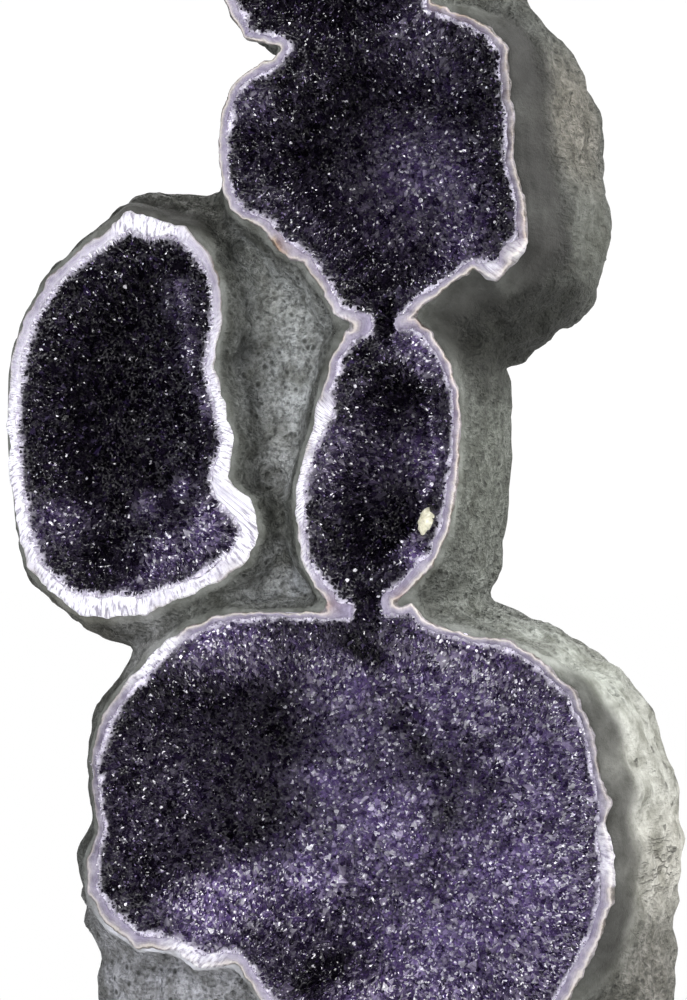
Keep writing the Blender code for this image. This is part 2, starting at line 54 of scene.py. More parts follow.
SENSOR = 24.0
# How much each axis counts in a distance: seen from in front, all alike, or drawn out in depth.
ON_SHEET = (1.0, 0.0, 1.0)
ALL_ROUND = (1.0, 1.0, 1.0)
DRAWN_BACK = (1.0, 0.6, 1.0)

log = logging.getLogger("geode")


class Stone(Enum):
    """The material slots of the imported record."""

    BASALT = "basalt"
    AGATE = "agate"
    QUARTZ = "quartz"
    AMETHYST = "amethyst"
    CALCITE = "calcite"


def linear(code: str) -> tuple[float, float, float, float]:
    """Turn an sRGB hex colour into a linear colour.

    Args:
        code: Six hex digits, with or without a hash in front.

    Returns:
        Red, green, blue and an alpha of one.
    """
    code = code.lstrip("#")
    parts = [int(code[i : i + 2], 16) / 255 for i in (0, 2, 4)]
    return (*[p / 12.92 if p <= 0.04045 else ((p + 0.055) / 1.055) ** 2.4 for p in parts], 1.0)


def smooth_step(low: float, high: float, value: np.ndarray) -> np.ndarray:
    """Ease values from 0 where they are low to 1 where they are high."""
    share = np.clip((value - low) / (high - low), 0.0, 1.0)
    return share * share * (3.0 - 2.0 * share)


@dataclass(frozen=True)
class FrontSheet:
    """The sheet that places are pointed at on, and the eye that sees it."""

    azimuth: float = math.radians(14.0)
    distance: float = 4.0
    width: float = 687.0
    height: float = 1000.0
    middle: tuple[float, float, float] = (0.03196, FRONT, 0.640)

    def back(self) -> Vector:
        """Direction from the sheet's middle to the eye."""
        return Vector((math.sin(self.azimuth), -math.cos(self.azimuth), 0.0))

    def eye(self) -> Vector:
        """The place of the eye."""
        return Vector(self.middle) + self.back() * self.distance

    def place(self, across: float, down: float, depth: float = 0.0) -> Vector:
        """Carry a sheet point along its line of sight to a depth behind the sawn face.

        Args:
            across: Millimetres from the sheet's left edge.
            down: Millimetres from the sheet's top edge.
            depth: Metres behind the sawn face.

        Returns:
            The point in the stone's frame.
        """
        right = Vector((math.cos(self.azimuth), math.sin(self.azimuth), 0.0))
        spot = Vector(self.middle) + right * ((across - self.width / 2) * MM)
        spot.z += (self.height / 2 - down) * MM
        eye = self.eye()
        ray = spot - eye
        return eye + ray * ((FRONT + depth - eye.y) / ray.y)


SHEET = FrontSheet()


def deselect_all() -> None:
    """Leave edit mode and select nothing."""
    if bpy.context.object and bpy.context.object.mode != "OBJECT":
        bpy.ops.object.mode_set(mode="OBJECT")
    bpy.ops.object.select_all(action="DESELECT")


def take(item: bpy.types.Object) -> None:
    """Select one object alone and make it active.

    Args:
        item: The object.
    """
    deselect_all()
    item.select_set(True)
    bpy.context.view_layer.objects.active = item


def new_object(name: str, data: bpy.types.ID) -> bpy.types.Object:
    """Show a mesh, a light or a camera as an object of its own.

    Args:
        name: The object's name.
        data: Its data.

    Returns:
        The object, linked to the scene at the origin.
    """
    made = bpy.data.objects.new(name, data)
    bpy.context.scene.collection.objects.link(made)
    return made


def edit_whole(item: bpy.types.Object, work: Callable, **settings: object) -> None:
    """Run one mesh operator on the whole of an object.

    Args:
        item: The object.
        work: The operator.
        settings: Its settings by name.
    """
    take(item)
    bpy.ops.object.mode_set(mode="EDIT")
    bpy.ops.mesh.select_all(action="SELECT")
    work(**settings)
    bpy.ops.object.mode_set(mode="OBJECT")


def welded_copy(name: str, *nodes: str) -> bpy.types.Object:
    """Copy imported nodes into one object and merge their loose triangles.

    Args:
        name: The new object's name.
        nodes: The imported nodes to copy.

    Returns:
        The copy.
    """
    copies = [new_object(name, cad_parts[node].data.copy()) for node in nodes]
    deselect_all()
    for item in copies:
        item.data.materials.clear()
        item.select_set(True)
    bpy.context.view_layer.objects.active = copies[0]
    if len(copies) > 1:
        bpy.ops.object.join()
    made = bpy.context.object
    made.name = name
    edit_whole(made, bpy.ops.mesh.remove_doubles, threshold=0.00001)
    return made


def finish_modifier(item: bpy.types.Object, kind: str, **settings: object) -> None:
    """Add a modifier, set it and apply it.

    Args:
        item: The object.
        kind: The modifier's type.
        settings: Its settings by name.
    """
    take(item)
    modifier = item.modifiers.new(kind.lower(), kind)
    for key, value in settings.items():
        setattr(modifier, key, value)
    bpy.ops.object.modifier_apply(modifier=modifier.name)


def rows_of(values: bpy.types.bpy_prop_collection, key: str) -> np.ndarray:
    """Read one vector of each of a mesh's parts as rows of X, Y and Z.

    Args:
        values: The mesh's parts.
        key: The vector's name.

    Returns:
        The rows.
    """
    flat = np.empty(len(values) * 3)
    values.foreach_get(key, flat)
    return flat.reshape(-1, 3)


def points_of(item: bpy.types.Object) -> np.ndarray:
    """Read a mesh's vertices as rows of X, Y and Z."""
    return rows_of(item.data.vertices, "co")


def normals_of(item: bpy.types.Object) -> np.ndarray:
    """Read a mesh's vertex normals."""
    return rows_of(item.data.vertex_normals, "vector")


def unit(rows: np.ndarray) -> np.ndarray:
    """Give each row the length of one."""
    return rows / np.linalg.norm(rows, axis=1)[:, None]


def put_points(item: bpy.types.Object, points: np.ndarray) -> None:
    """Write vertices back to a mesh."""
    item.data.vertices.foreach_set("co", points.ravel())
    item.data.update()


def add_values(item: bpy.types.Object, name: str, values: np.ndarray) -> None:
    """Store one number for each vertex, for the finish to read."""
    item.data.attributes.new(name, "FLOAT", "POINT").data.foreach_set("value", values.astype(np.float32))


def add_tones(item: bpy.types.Object, name: str, tones: np.ndarray) -> None:
    """Store one linear colour for each vertex, for the finish to read."""
    rows = np.concatenate([tones, np.ones((len(tones), 1))], axis=1).astype(np.float32)
    item.data.attributes.new(name, "FLOAT_COLOR", "POINT").data.foreach_set("color", rows.ravel())


def shade(item: bpy.types.Object, smooth: bool) -> None:
    """Shade a whole mesh smooth or flat."""
    item.data.polygons.foreach_set("use_smooth", np.full(len(item.data.polygons), smooth))
    item.data.update()


def pointed_solids(name: str, corners: np.ndarray) -> bpy.types.Object:
    """Join small pointed solids into one object, their faces turned outward.

    Args:
        name: The object's name.
        corners: For each solid the corners of its foot in order, and its tip last.

    Returns:
        The object.
    """
    sides = corners.shape[1] - 1
    start = np.arange(len(corners))[:, None] * (sides + 1)
    walls = np.concatenate([start + np.array([[k, (k + 1) % sides, sides]]) for k in range(sides)], axis=0)
    floors = start + np.arange(sides)[::-1]
    data = bpy.data.meshes.new(name)
    data.from_pydata(corners.reshape(-1, 3).tolist(), [], walls.tolist() + floors.tolist())
    made = new_object(name, data)
    edit_whole(made, bpy.ops.mesh.normals_make_consistent, inside=False)
    return made


def hand_over(item: bpy.types.Object, stone: Stone, material: bpy.types.Material, *nodes: str) -> None:
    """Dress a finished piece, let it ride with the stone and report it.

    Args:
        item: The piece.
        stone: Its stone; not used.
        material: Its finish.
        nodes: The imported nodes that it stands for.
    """
    item.data.materials.clear()
    item.data.materials.append(material)
    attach(item, "root")
    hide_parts(*nodes)
    item.data.calc_loop_triangles()
    log.info("%s: %d triangles", item.name, len(item.data.loop_triangles))


def ripple(points: np.ndarray, scale: float | tuple[float, float, float], shift: float) -> np.ndarray:
    """Smooth relief, about -1 to 1, with forms as large as the scale; the shift sets reliefs apart."""
    scaled = points / np.asarray(scale) + shift
    return np.array([noise.noise(Vector(row)) for row in scaled]) * 1.6


class FrontMap:
    """Distances on the sawn face between rock, agate and crystals."""

    def __init__(self) -> None:
        """Collect the flat front faces of each packed stone and the hollow's walls."""
        self.rims = self._front_tree("main_agate_lining", "side_agate_lining")
        self.rock = self._front_tree("basalt_shell")
        self.crystals = self._front_tree("main_crystal_crust", "side_crystal_crust")

    @staticmethod
    def _front_tree(*nodes: str) -> BVHTree:
        """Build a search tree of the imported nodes' faces that lie in the sawn face.

        Args:
            nodes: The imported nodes.

        Returns:
            The tree.
        """
        corners: list[Vector] = []
        faces: list[list[int]] = []
        for node in nodes:
            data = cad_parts[node].data
            for face in data.polygons:
                ring = [data.vertices[i].co for i in face.vertices]
                if max(point.y for point in ring) < FRONT + 0.0001:
                    faces.append(list(range(len(corners), len(corners) + len(ring))))
                    corners.extend(point.copy() for point in ring)
        return BVHTree.FromPolygons(corners, faces)

    @staticmethod
    def distance(tree: BVHTree, points: np.ndarray) -> np.ndarray:
        """Distance on the sawn face from points, seen along Y, to a tree's faces."""
        return np.array([tree.find_nearest(Vector((x, FRONT, z)))[3] for x, _, z in points])


def node_tree_of(*nodes: str) -> BVHTree:
    """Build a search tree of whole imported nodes.

    Args:
        nodes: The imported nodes.

    Returns:
        The tree.
    """
    corners: list[Vector] = []
    faces: list[list[int]] = []
    for node in nodes:
        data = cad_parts[node].data
        start = len(corners)
        corners.extend(vertex.co.copy() for vertex in data.vertices)
        faces.extend([start + i for i in face.vertices] for face in data.polygons)
    return BVHTree.FromPolygons(corners, faces)


class Patch:
    """A material's node tree, with one way of adding nodes to it."""

    def __init__(self, name: str) -> None:
        """Start a material with a plain shader.

        Args:
            name: The material's name.
        """
        self.material = bpy.data.materials.new(name)
        self.material.use_nodes = True
        self.tree = self.material.node_tree
        self.shader = self.tree.nodes["Principled BSDF"]
        self.output = self.tree.nodes["Material Output"]

    def add(self, kind: str, settings: dict | None = None, **links: object) -> bpy.types.Node:
        """Add a node with its settings, values and links.

        Args:
            kind: The node's type.
            settings: Properties of the node by name.
            links: Sockets by name, spaces written as underscores, each a socket to link or a value.

        Returns:
            The node.
        """
        made = self.tree.nodes.new(kind)
        for key, value in (settings or {}).items():
            setattr(made, key, value)
        for key, value in links.items():
            self.set(made, key, value)
        return made

    def set(self, node: bpy.types.Node, name: str, value: object) -> None:
        """Link a socket or give it a value.

        Args:
            node: The node that has the socket.
            name: The socket's name with underscores, or i and its number.
            value: Another node's output, or a value.
        """
        known = {socket.name.replace(" ", "_"): socket for socket in reversed(node.inputs)}
        socket = node.inputs[int(name[1:])] if name[0] == "i" and name[1:].isdigit() else known[name]
        if isinstance(value, bpy.types.NodeSocket):
            self.tree.links.new(value, socket)
        else:
            socket.default_value = value

    def ramp(self, value: bpy.types.NodeSocket, stops: list[tuple[float, str]]) -> bpy.types.NodeSocket:
        """Turn a value into colours.

        Args:
            value: The socket that drives the ramp.
            stops: Places from 0 to 1 and their hex colours.

        Returns:
            The colour.
        """
        made = self.add("ShaderNodeValToRGB", Fac=value)
        elements = made.color_ramp.elements
        while len(elements) < len(stops):
            elements.new(0.5)
        for element, (place, code) in zip(elements, stops):
            element.position = place
            element.color = linear(code)
        return made.outputs["Color"]

    def mix(
        self, share: object, first: object, second: object, way: str = "MIX"
    ) -> bpy.types.NodeSocket:
        """Blend a share of a second colour into a first, in the way named."""
        kind = {"data_type": "RGBA", "blend_type": way}
        return self.add("ShaderNodeMix", kind, i0=share, i6=first, i7=second).outputs[2]

    def math(self, way: str, *values: object, kind: str = "Math") -> bpy.types.NodeSocket:
        """Join numbers, or vectors if the kind is VectorMath, with one operation."""
        links = {f"i{i}": value for i, value in enumerate(values)}
        return self.add("ShaderNode" + kind, {"operation": way}, **links).outputs[0]

    def times(self, first: object, second: object) -> bpy.types.NodeSocket:
        """Multiply two numbers."""
        return self.math("MULTIPLY", first, second)

    def line(self, value: object, slope: object, start: object) -> bpy.types.NodeSocket:
        """Multiply a number by a slope and add it to a start."""
        return self.math("MULTIPLY_ADD", value, slope, start)

    def span(self, value: object, low: float, high: float) -> bpy.types.NodeSocket:
        """Stretch a value so that low becomes 0 and high becomes 1, held inside them.

        Args:
            value: A number or socket.
            low: What becomes 0.
            high: What becomes 1.

        Returns:
            The stretched value.
        """
        return self.add(
            "ShaderNodeMapRange", {"clamp": True}, Value=value, From_Min=low, From_Max=high
        ).outputs[0]

    def under(self, value: object, low: float, high: float) -> bpy.types.NodeSocket:
        """One up to low, falling to zero at high."""
        return self.math("SUBTRACT", 1.0, self.span(value, low, high))

    def veins(self, grain: bpy.types.NodeSocket, width: float) -> bpy.types.NodeSocket:
        """Thin winding lines where a noise passes its middle."""
        return self.under(self.math("ABSOLUTE", self.math("SUBTRACT", grain, 0.5)), 0.0, width)

    def place(self, stretch: tuple[float, float, float] = ALL_ROUND) -> bpy.types.NodeSocket:
        """The place on the stone, in its frame, drawn together by the stretch."""
        return self.stretched(self.add("ShaderNodeTexCoord").outputs["Object"], stretch)

    def stretched(
        self, place: bpy.types.NodeSocket, stretch: tuple[float, float, float]
    ) -> bpy.types.NodeSocket:
        """Draw a place together, so that forms laid on it come out longer by the stretch.

        Args:
            place: The place's socket.
            stretch: How much longer along each axis.

        Returns:
            The drawn place.
        """
        if stretch == ALL_ROUND:
            return place
        scale = tuple(1 / part for part in stretch)
        return self.add("ShaderNodeMapping", Vector=place, Scale=scale).outputs[0]

    def chips(self, size: float) -> bpy.types.NodeSocket:
        """A colour at random for each small chip of the stone, sized in millimetres."""
        return self.add("ShaderNodeTexVoronoi", Vector=self.place(), Scale=1000 / size).outputs["Color"]

    def grain(
        self, size: float, detail: float = 2.0, stretch: tuple[float, float, float] = ALL_ROUND
    ) -> bpy.types.NodeSocket:
        """Natural noise over the stone, 0 to 1, with forms as large as the size in millimetres.

        Args:
            size: Size of the forms in millimetres.
            detail: How many finer octaves ride on them.
            stretch: How much longer the forms are along each axis.

        Returns:
            The noise's value.
        """
        scale = 1000 / size
        return self.add(
            "ShaderNodeTexNoise", Vector=self.place(stretch), Scale=scale, Detail=detail, Roughness=0.6
        ).outputs[0]

    def cells(
        self, size: float, stretch: tuple[float, float, float] = ALL_ROUND, warp: float = 0.0
    ) -> bpy.types.NodeSocket:
        """Distance to the nearest of scattered points, for pits and grains.

        Args:
            size: Mean spacing in millimetres.
            stretch: How much longer the cells are along each axis.
            warp: Metres by which their outlines wander.

        Returns:
            The distance in cell widths.
        """
        place = self.place()
        if warp:
            stray = self.add("ShaderNodeTexNoise", Vector=place, Scale=1100 / size, Detail=1.0)
            place = self.math("MULTIPLY_ADD", stray.outputs["Color"], (warp,) * 3, place, kind="VectorMath")
        place = self.stretched(place, stretch)
        return self.add("ShaderNodeTexVoronoi", Vector=place, Scale=1000 / size).outputs["Distance"]

    def value(self, name: str) -> bpy.types.NodeSocket:
        """Read a number stored on the piece's vertices."""
        return self.add("ShaderNodeAttribute", {"attribute_name": name}).outputs["Fac"]

    def tone(self, name: str) -> bpy.types.NodeSocket:
        """Read a colour stored on the piece's vertices."""
        return self.add("ShaderNodeAttribute", {"attribute_name": name}).outputs["Color"]

    def bump(
        self, height: object, size: float, strength: float, beneath: object = None
    ) -> bpy.types.NodeSocket:
        """Turn a height into a bent normal.

        Args:
            height: The height's socket.
            size: Metres that a height of one stands for.
            strength: Share of the bend, 0 to 1.
            beneath: Another bump's normal that this one rides on.

        Returns:
            The normal.
        """
        made = self.add("ShaderNodeBump", Height=height, Distance=size, Strength=strength)
        if beneath is not None:
            self.set(made, "Normal", beneath)
        return made.outputs[0]

    def dress(self, **values: object) -> bpy.types.Material:
        """Set the shader's sockets and return the finished material.

        Args:
            values: Sockets by name, spaces written as underscores.

        Returns:
            The material.
        """
        for key, value in values.items():
            self.set(self.shader, key, value)
        return self.material


@dataclass(frozen=True)
class BasaltFinish:
    """Weathered basalt: a dull grey-green volcanic rock with gas pits and clay-coloured bloom."""

    pit_spacing: float = 9.0
    hole_spacing: float = 18.0
    grain_size: float = 1.6

    def build(self) -> bpy.types.Material:
        """Make the material: tones by place, painted shade in the pits, creases and low relief, fine grain, a
        smoother dark collar by the rims.

        Returns:
            The material.
        """
        patch = Patch("weathered_basalt")
        tone = patch.tone("tone")
        rough = patch.value("wild")
        pitted = patch.value("pitted")
        cloud = patch.grain(26.0, 4.0)
        speck = patch.grain(5.2, 4.0, (1.0, 1.7, 0.9))
        grit = patch.grain(self.grain_size, 1.0)
        crease = patch.veins(patch.grain(17.0, 3.0, (1.0, 1.8, 1.1)), 0.070)
        plain = patch.times(rough, patch.line(pitted, -0.9, 0.9))
        crease = patch.times(crease, plain)
        # Gas pits a few millimetres wide, gathered in drifts where the skin was never ground.
        drift = patch.times(patch.span(patch.grain(34.0, 1.0), 0.44, 0.58), rough)
        pit = patch.under(patch.cells(self.pit_spacing, (1.0, 1.6, 1.3)), 0.14, 0.34)
        pit = patch.times(pit, drift)
        bowl = patch.cells(self.hole_spacing, (1.0, 1.9, 0.8), 0.008)
        wide = patch.under(bowl, 0.15, 0.31)
        where = patch.times(pitted, patch.span(patch.grain(38.0, 1.0), 0.40, 0.50))
        wide = patch.times(wide, patch.times(rough, where))
        pit = patch.times(pit, patch.line(pitted, -0.6, 1.0))
        # Level wrinkles where the lava skin folded.
        fold = patch.veins(patch.grain(15.0, 2.0, (2.2, 2.6, 0.8)), 0.060)
        fold = patch.times(fold, patch.value("folded"))
        shaggy = patch.times(rough, patch.line(pitted, -0.78, 1.0))
        height = patch.times(speck, patch.line(shaggy, 1.8, 0.25))
        for form, rise in ((crease, -0.45), (pit, -0.8), (wide, -0.75), (fold, -0.60)):
            height = patch.line(form, rise, height)
        base = patch.mix(1.0, tone, patch.ramp(cloud, [(0.34, "#a9a9a3"), (0.66, "#ffffff")]), "MULTIPLY")
        # Painted shade: the skin darkens where its speckled relief is low.
        cavity_shade = patch.ramp(speck, [(0.32, "#6d6f6c"), (0.50, "#dadbd8"), (0.66, "#ffffff")])
        base = patch.mix(patch.line(shaggy, 0.72, 0.10), base, cavity_shade, "MULTIPLY")
        # Painted shade in the gas pits, creases and folds.
        sunk = patch.math("MAXIMUM", patch.times(pit, 0.8), patch.times(crease, 0.34))
        dark = ((sunk, "#30312c"), (patch.times(wide, 0.74), "#45443e"), (patch.times(fold, 0.60), "#4b4943"))
        for share, code in dark:
            base = patch.mix(share, base, linear(code))
        bent = patch.bump(height, 0.0065, 1.0)
        bent = patch.bump(grit, 0.0010, 0.6, bent)
        return patch.dress(
            Base_Color=base,
            Roughness=patch.line(grit, 0.25, 0.62),
            Normal=bent,
            Specular_IOR_Level=0.35,
        )


@dataclass(frozen=True)
class AgateFinish:
    """Banded agate, sawn and polished: translucent lilac-grey chalcedony between white quartz lines."""

    stops: tuple[tuple[float, str], ...] = (
        (0.00, "#4a4642"), (0.12, "#6b645c"), (0.24, "#cdc6bd"), (0.36, "#a09a9a"),
        (0.55, "#7f7988"), (0.78, "#7c758a"), (1.0, "#9790a6"),
    )
    name: str = "banded_agate"
    waver: float = 0.22
    whiteness: float = 0.35

    def build(self) -> bpy.types.Material:
        """Make the material: bands by the place across the rim, wavering, with hair lines between them.

        Returns:
            The material.
        """
        patch = Patch(self.name)
        across = patch.value("across")
        sway = patch.math("SUBTRACT", patch.grain(9.0, 3.0), 0.5)
        swayed = patch.line(sway, self.waver * 2, across)
        band = patch.ramp(swayed, list(self.stops))
        # Hair lines that follow the rim, as thin as the quartz layers.
        line = patch.math("SINE", patch.times(swayed, 42.0))
        faint = patch.mix(patch.span(line, 0.2, 1.0), linear("#e3e0e5"), linear("#ffffff"))
        band = patch.mix(0.7, band, faint, "MULTIPLY")
        stain = patch.mix(1.0, band, patch.tone("stain"), "MULTIPLY")
        cloud = patch.span(patch.grain(14.0, 3.0), 0.40, 0.68)
        milky = patch.mix(patch.times(cloud, self.whiteness), stain, linear("#c4bfca"))
        # Quartz blades that stand across the band, a millimetre or two wide.
        run = patch.add("ShaderNodeCombineXYZ", X=patch.value("along"), Y=across).outputs[0]
        run = patch.add("ShaderNodeMapping", Vector=run, Scale=(1000 / 2.4, 1.6, 1.0)).outputs[0]
        blade = patch.add("ShaderNodeTexNoise", Vector=run, Scale=1.0, Detail=3.0, Roughness=0.6).outputs[0]
        snow = patch.ramp(blade, [(0.37, "#817d8b"), (0.46, "#c6c3ce"), (0.56, "#eeedf2")])
        milky = patch.mix(patch.times(patch.value("milk"), 0.94), milky, snow)
        bent = patch.bump(patch.grain(3.2, 3.0), 0.0022, 0.7)
        bent = patch.bump(blade, 0.0020, 0.6, bent)
        return patch.dress(
            Base_Color=milky,
            Roughness=patch.line(cloud, 0.2, 0.34),
            IOR=1.54,
            Specular_IOR_Level=0.4,
            Subsurface_Weight=0.15,
            Subsurface_Radius=(0.004, 0.003, 0.005),
            Subsurface_Scale=1.0,
            Normal=bent,
        )


@dataclass(frozen=True)
class AmethystFinish:
    """Amethyst points: clear violet quartz with flat bright faces, with painted shade that turns them near
    black and painted light that turns them paler violet.
    """

    name: str = "amethyst_points"
    clearness: float = 0.15
    facet: float = 1.9
    frosted: float = 3.0
    tilt: float = 0.7

    def build(self) -> bpy.types.Material:
        """Make the material: each point its own depth of violet, broken into small bright facets.

        Returns:
            The material.
        """
        patch = Patch(self.name)
        tint = patch.value("tint")
        painted_light = patch.value("painted_light")
        chip = patch.chips(self.facet)
        parts = patch.add("ShaderNodeSeparateColor", Color=chip).outputs
        # Shaded and lit copies of the violet, blended by the painted light; the faces also shine more where
        # light is painted.
        deep = patch.ramp(tint, [(0.0, "#050308"), (0.4, "#0d0913"), (0.75, "#1d1528"), (1.0, "#33284a")])
        bright = patch.ramp(tint, [(0.0, "#281b42"), (0.30, "#78609f"), (0.60, "#cdbfe2"), (1.0, "#ffffff")])
        colour = patch.mix(painted_light, deep, bright)
        shine = patch.line(painted_light, 0.55, 0.22)
        # Flecks the size of the steps on a point's faces: lilac ones, and fewer that are frosted white and
        # double as painted glints; both come more often where light is painted.
        fleck = patch.math("GREATER_THAN", parts[1], patch.line(painted_light, -0.24, 0.985))
        colour = patch.mix(patch.times(fleck, 0.6), colour, linear("#9c8cb8"))
        coarse = patch.add("ShaderNodeSeparateColor", Color=patch.chips(self.frosted)).outputs[0]
        frost_and_glint = patch.math("GREATER_THAN", coarse, patch.line(painted_light, -0.15, 0.993))
        shine = patch.line(frost_and_glint, 0.45, shine)
        colour = patch.mix(frost_and_glint, colour, linear("#f8f5fd"))
        colour = patch.mix(patch.value("rim"), colour, patch.ramp(tint, [(0.0, "#b5adc2"), (1.0, "#efedf4")]))
        half = (-self.tilt / 2,) * 3
        tilt = patch.math("MULTIPLY_ADD", chip, (self.tilt,) * 3, half, kind="VectorMath")
        flat = patch.add("ShaderNodeNewGeometry").outputs["Normal"]
        bent = patch.math("ADD", tilt, flat, kind="VectorMath")
        bent = patch.math("NORMALIZE", bent, kind="VectorMath")
        return patch.dress(
            Base_Color=colour,
            Roughness=patch.line(frost_and_glint, 0.15, 0.07),
            IOR=1.544,
            Transmission_Weight=self.clearness,
            Specular_IOR_Level=shine,
            Coat_Weight=0.05,
            Coat_Roughness=0.05,
            Coat_IOR=1.5,
            Normal=bent,
        )


@dataclass(frozen=True)
class BedFinish:
    """The crust under the points: dark violet quartz, sugary where it shows between them."""

    name: str = "amethyst_bed"

    def build(self) -> bpy.types.Material:
        """Make the material: near-black violet grains, painted paler where light falls, that pale to white
        quartz by the rims.

        Returns:
            The material.
        """
        patch = Patch(self.name)
        fine = patch.grain(2.4, 2.0)
        # Shaded and lit copies of the violet grains, blended by the painted light.
        dark = patch.ramp(fine, [(0.35, "#070609"), (0.65, "#191322")])
        bright = patch.ramp(fine, [(0.35, "#2c2140"), (0.65, "#6a5b88")])
        colour = patch.mix(patch.value("painted_light"), dark, bright)
        colour = patch.mix(patch.value("rim"), colour, linear("#d9d3e4"))
        bent = patch.bump(patch.cells(3.0), 0.002, 0.9)
        return patch.dress(Base_Color=colour, Roughness=0.3, IOR=1.544, Normal=bent)


@dataclass(frozen=True)
class CalciteFinish:
    """Massive calcite: a cream nodule, waxy, pitted where small crystals broke away."""

    name: str = "cream_calcite"

    def build(self) -> bpy.types.Material:
        """Make the material: cream clouds, darker hollows, soft light under the skin.

        Returns:
            The material.
        """
        patch = Patch(self.name)
        cloud = patch.grain(5.0, 3.0)
        colour = patch.ramp(cloud, [(0.30, "#a9a48c"), (0.5, "#d5d1ba"), (0.72, "#f3f0e2")])
        bent = patch.bump(patch.grain(1.8, 2.0), 0.001, 0.6)
        return patch.dress(
            Base_Color=colour, Roughness=0.5, IOR=1.5, Subsurface_Weight=0.3,
            Subsurface_Radius=(0.004, 0.004, 0.003), Normal=bent,
        )


@dataclass(frozen=True)
class Spot:
    """A round place that is pointed at on the sheet, how far it spreads in millimetres and what it weighs."""

    across: float
    down: float
    depth: float
    spread: float
    weight: float = 1.0

    def middle(self) -> np.ndarray:
        """The spot's middle in the stone's frame."""
        return np.array(SHEET.place(self.across, self.down, self.depth))

    def share(
        self, points: np.ndarray, reach: tuple[float, float, float] = ON_SHEET, power: int = 2
    ) -> np.ndarray:
        """How much the spot counts at points; a higher power gives it a harder edge."""
        off = np.linalg.norm((points - self.middle()) * reach, axis=1) / (self.spread * MM)
        return self.weight * np.exp(-(off**power))


@dataclass(frozen=True)
class Zone(Spot):
    """A spot with a colour of its own."""

    colour: str = "#ffffff"

    def rgb(self) -> np.ndarray:
        """The colour, linear."""
        return np.array(linear(self.colour)[:3])


def make_spots(*rows: tuple[float, ...]) -> tuple[Spot, ...]:
    """Make spots from rows of across, down, depth, spread and weight."""
    return tuple(Spot(*row) for row in rows)


def make_zones(*rows: tuple) -> tuple[Zone, ...]:
    """Make zones from rows of across, down, depth, spread, weight and colour."""
    return tuple(Zone(*row) for row in rows)


def widest_share(
    around: tuple[Spot, ...], points: np.ndarray, reach: tuple[float, float, float] = ON_SHEET
) -> np.ndarray:
    """How far points belong to any of some spots.

    Args:
        around: The spots.
        points: Rows of X, Y and Z.
        reach: How much each axis counts in the distance.

    Returns:
        Shares from zero to the highest weight, with hard edges.
    """
    share = np.zeros(len(points))
    for spot in around:
        share = np.maximum(share, spot.share(points, reach, 4))
    return share


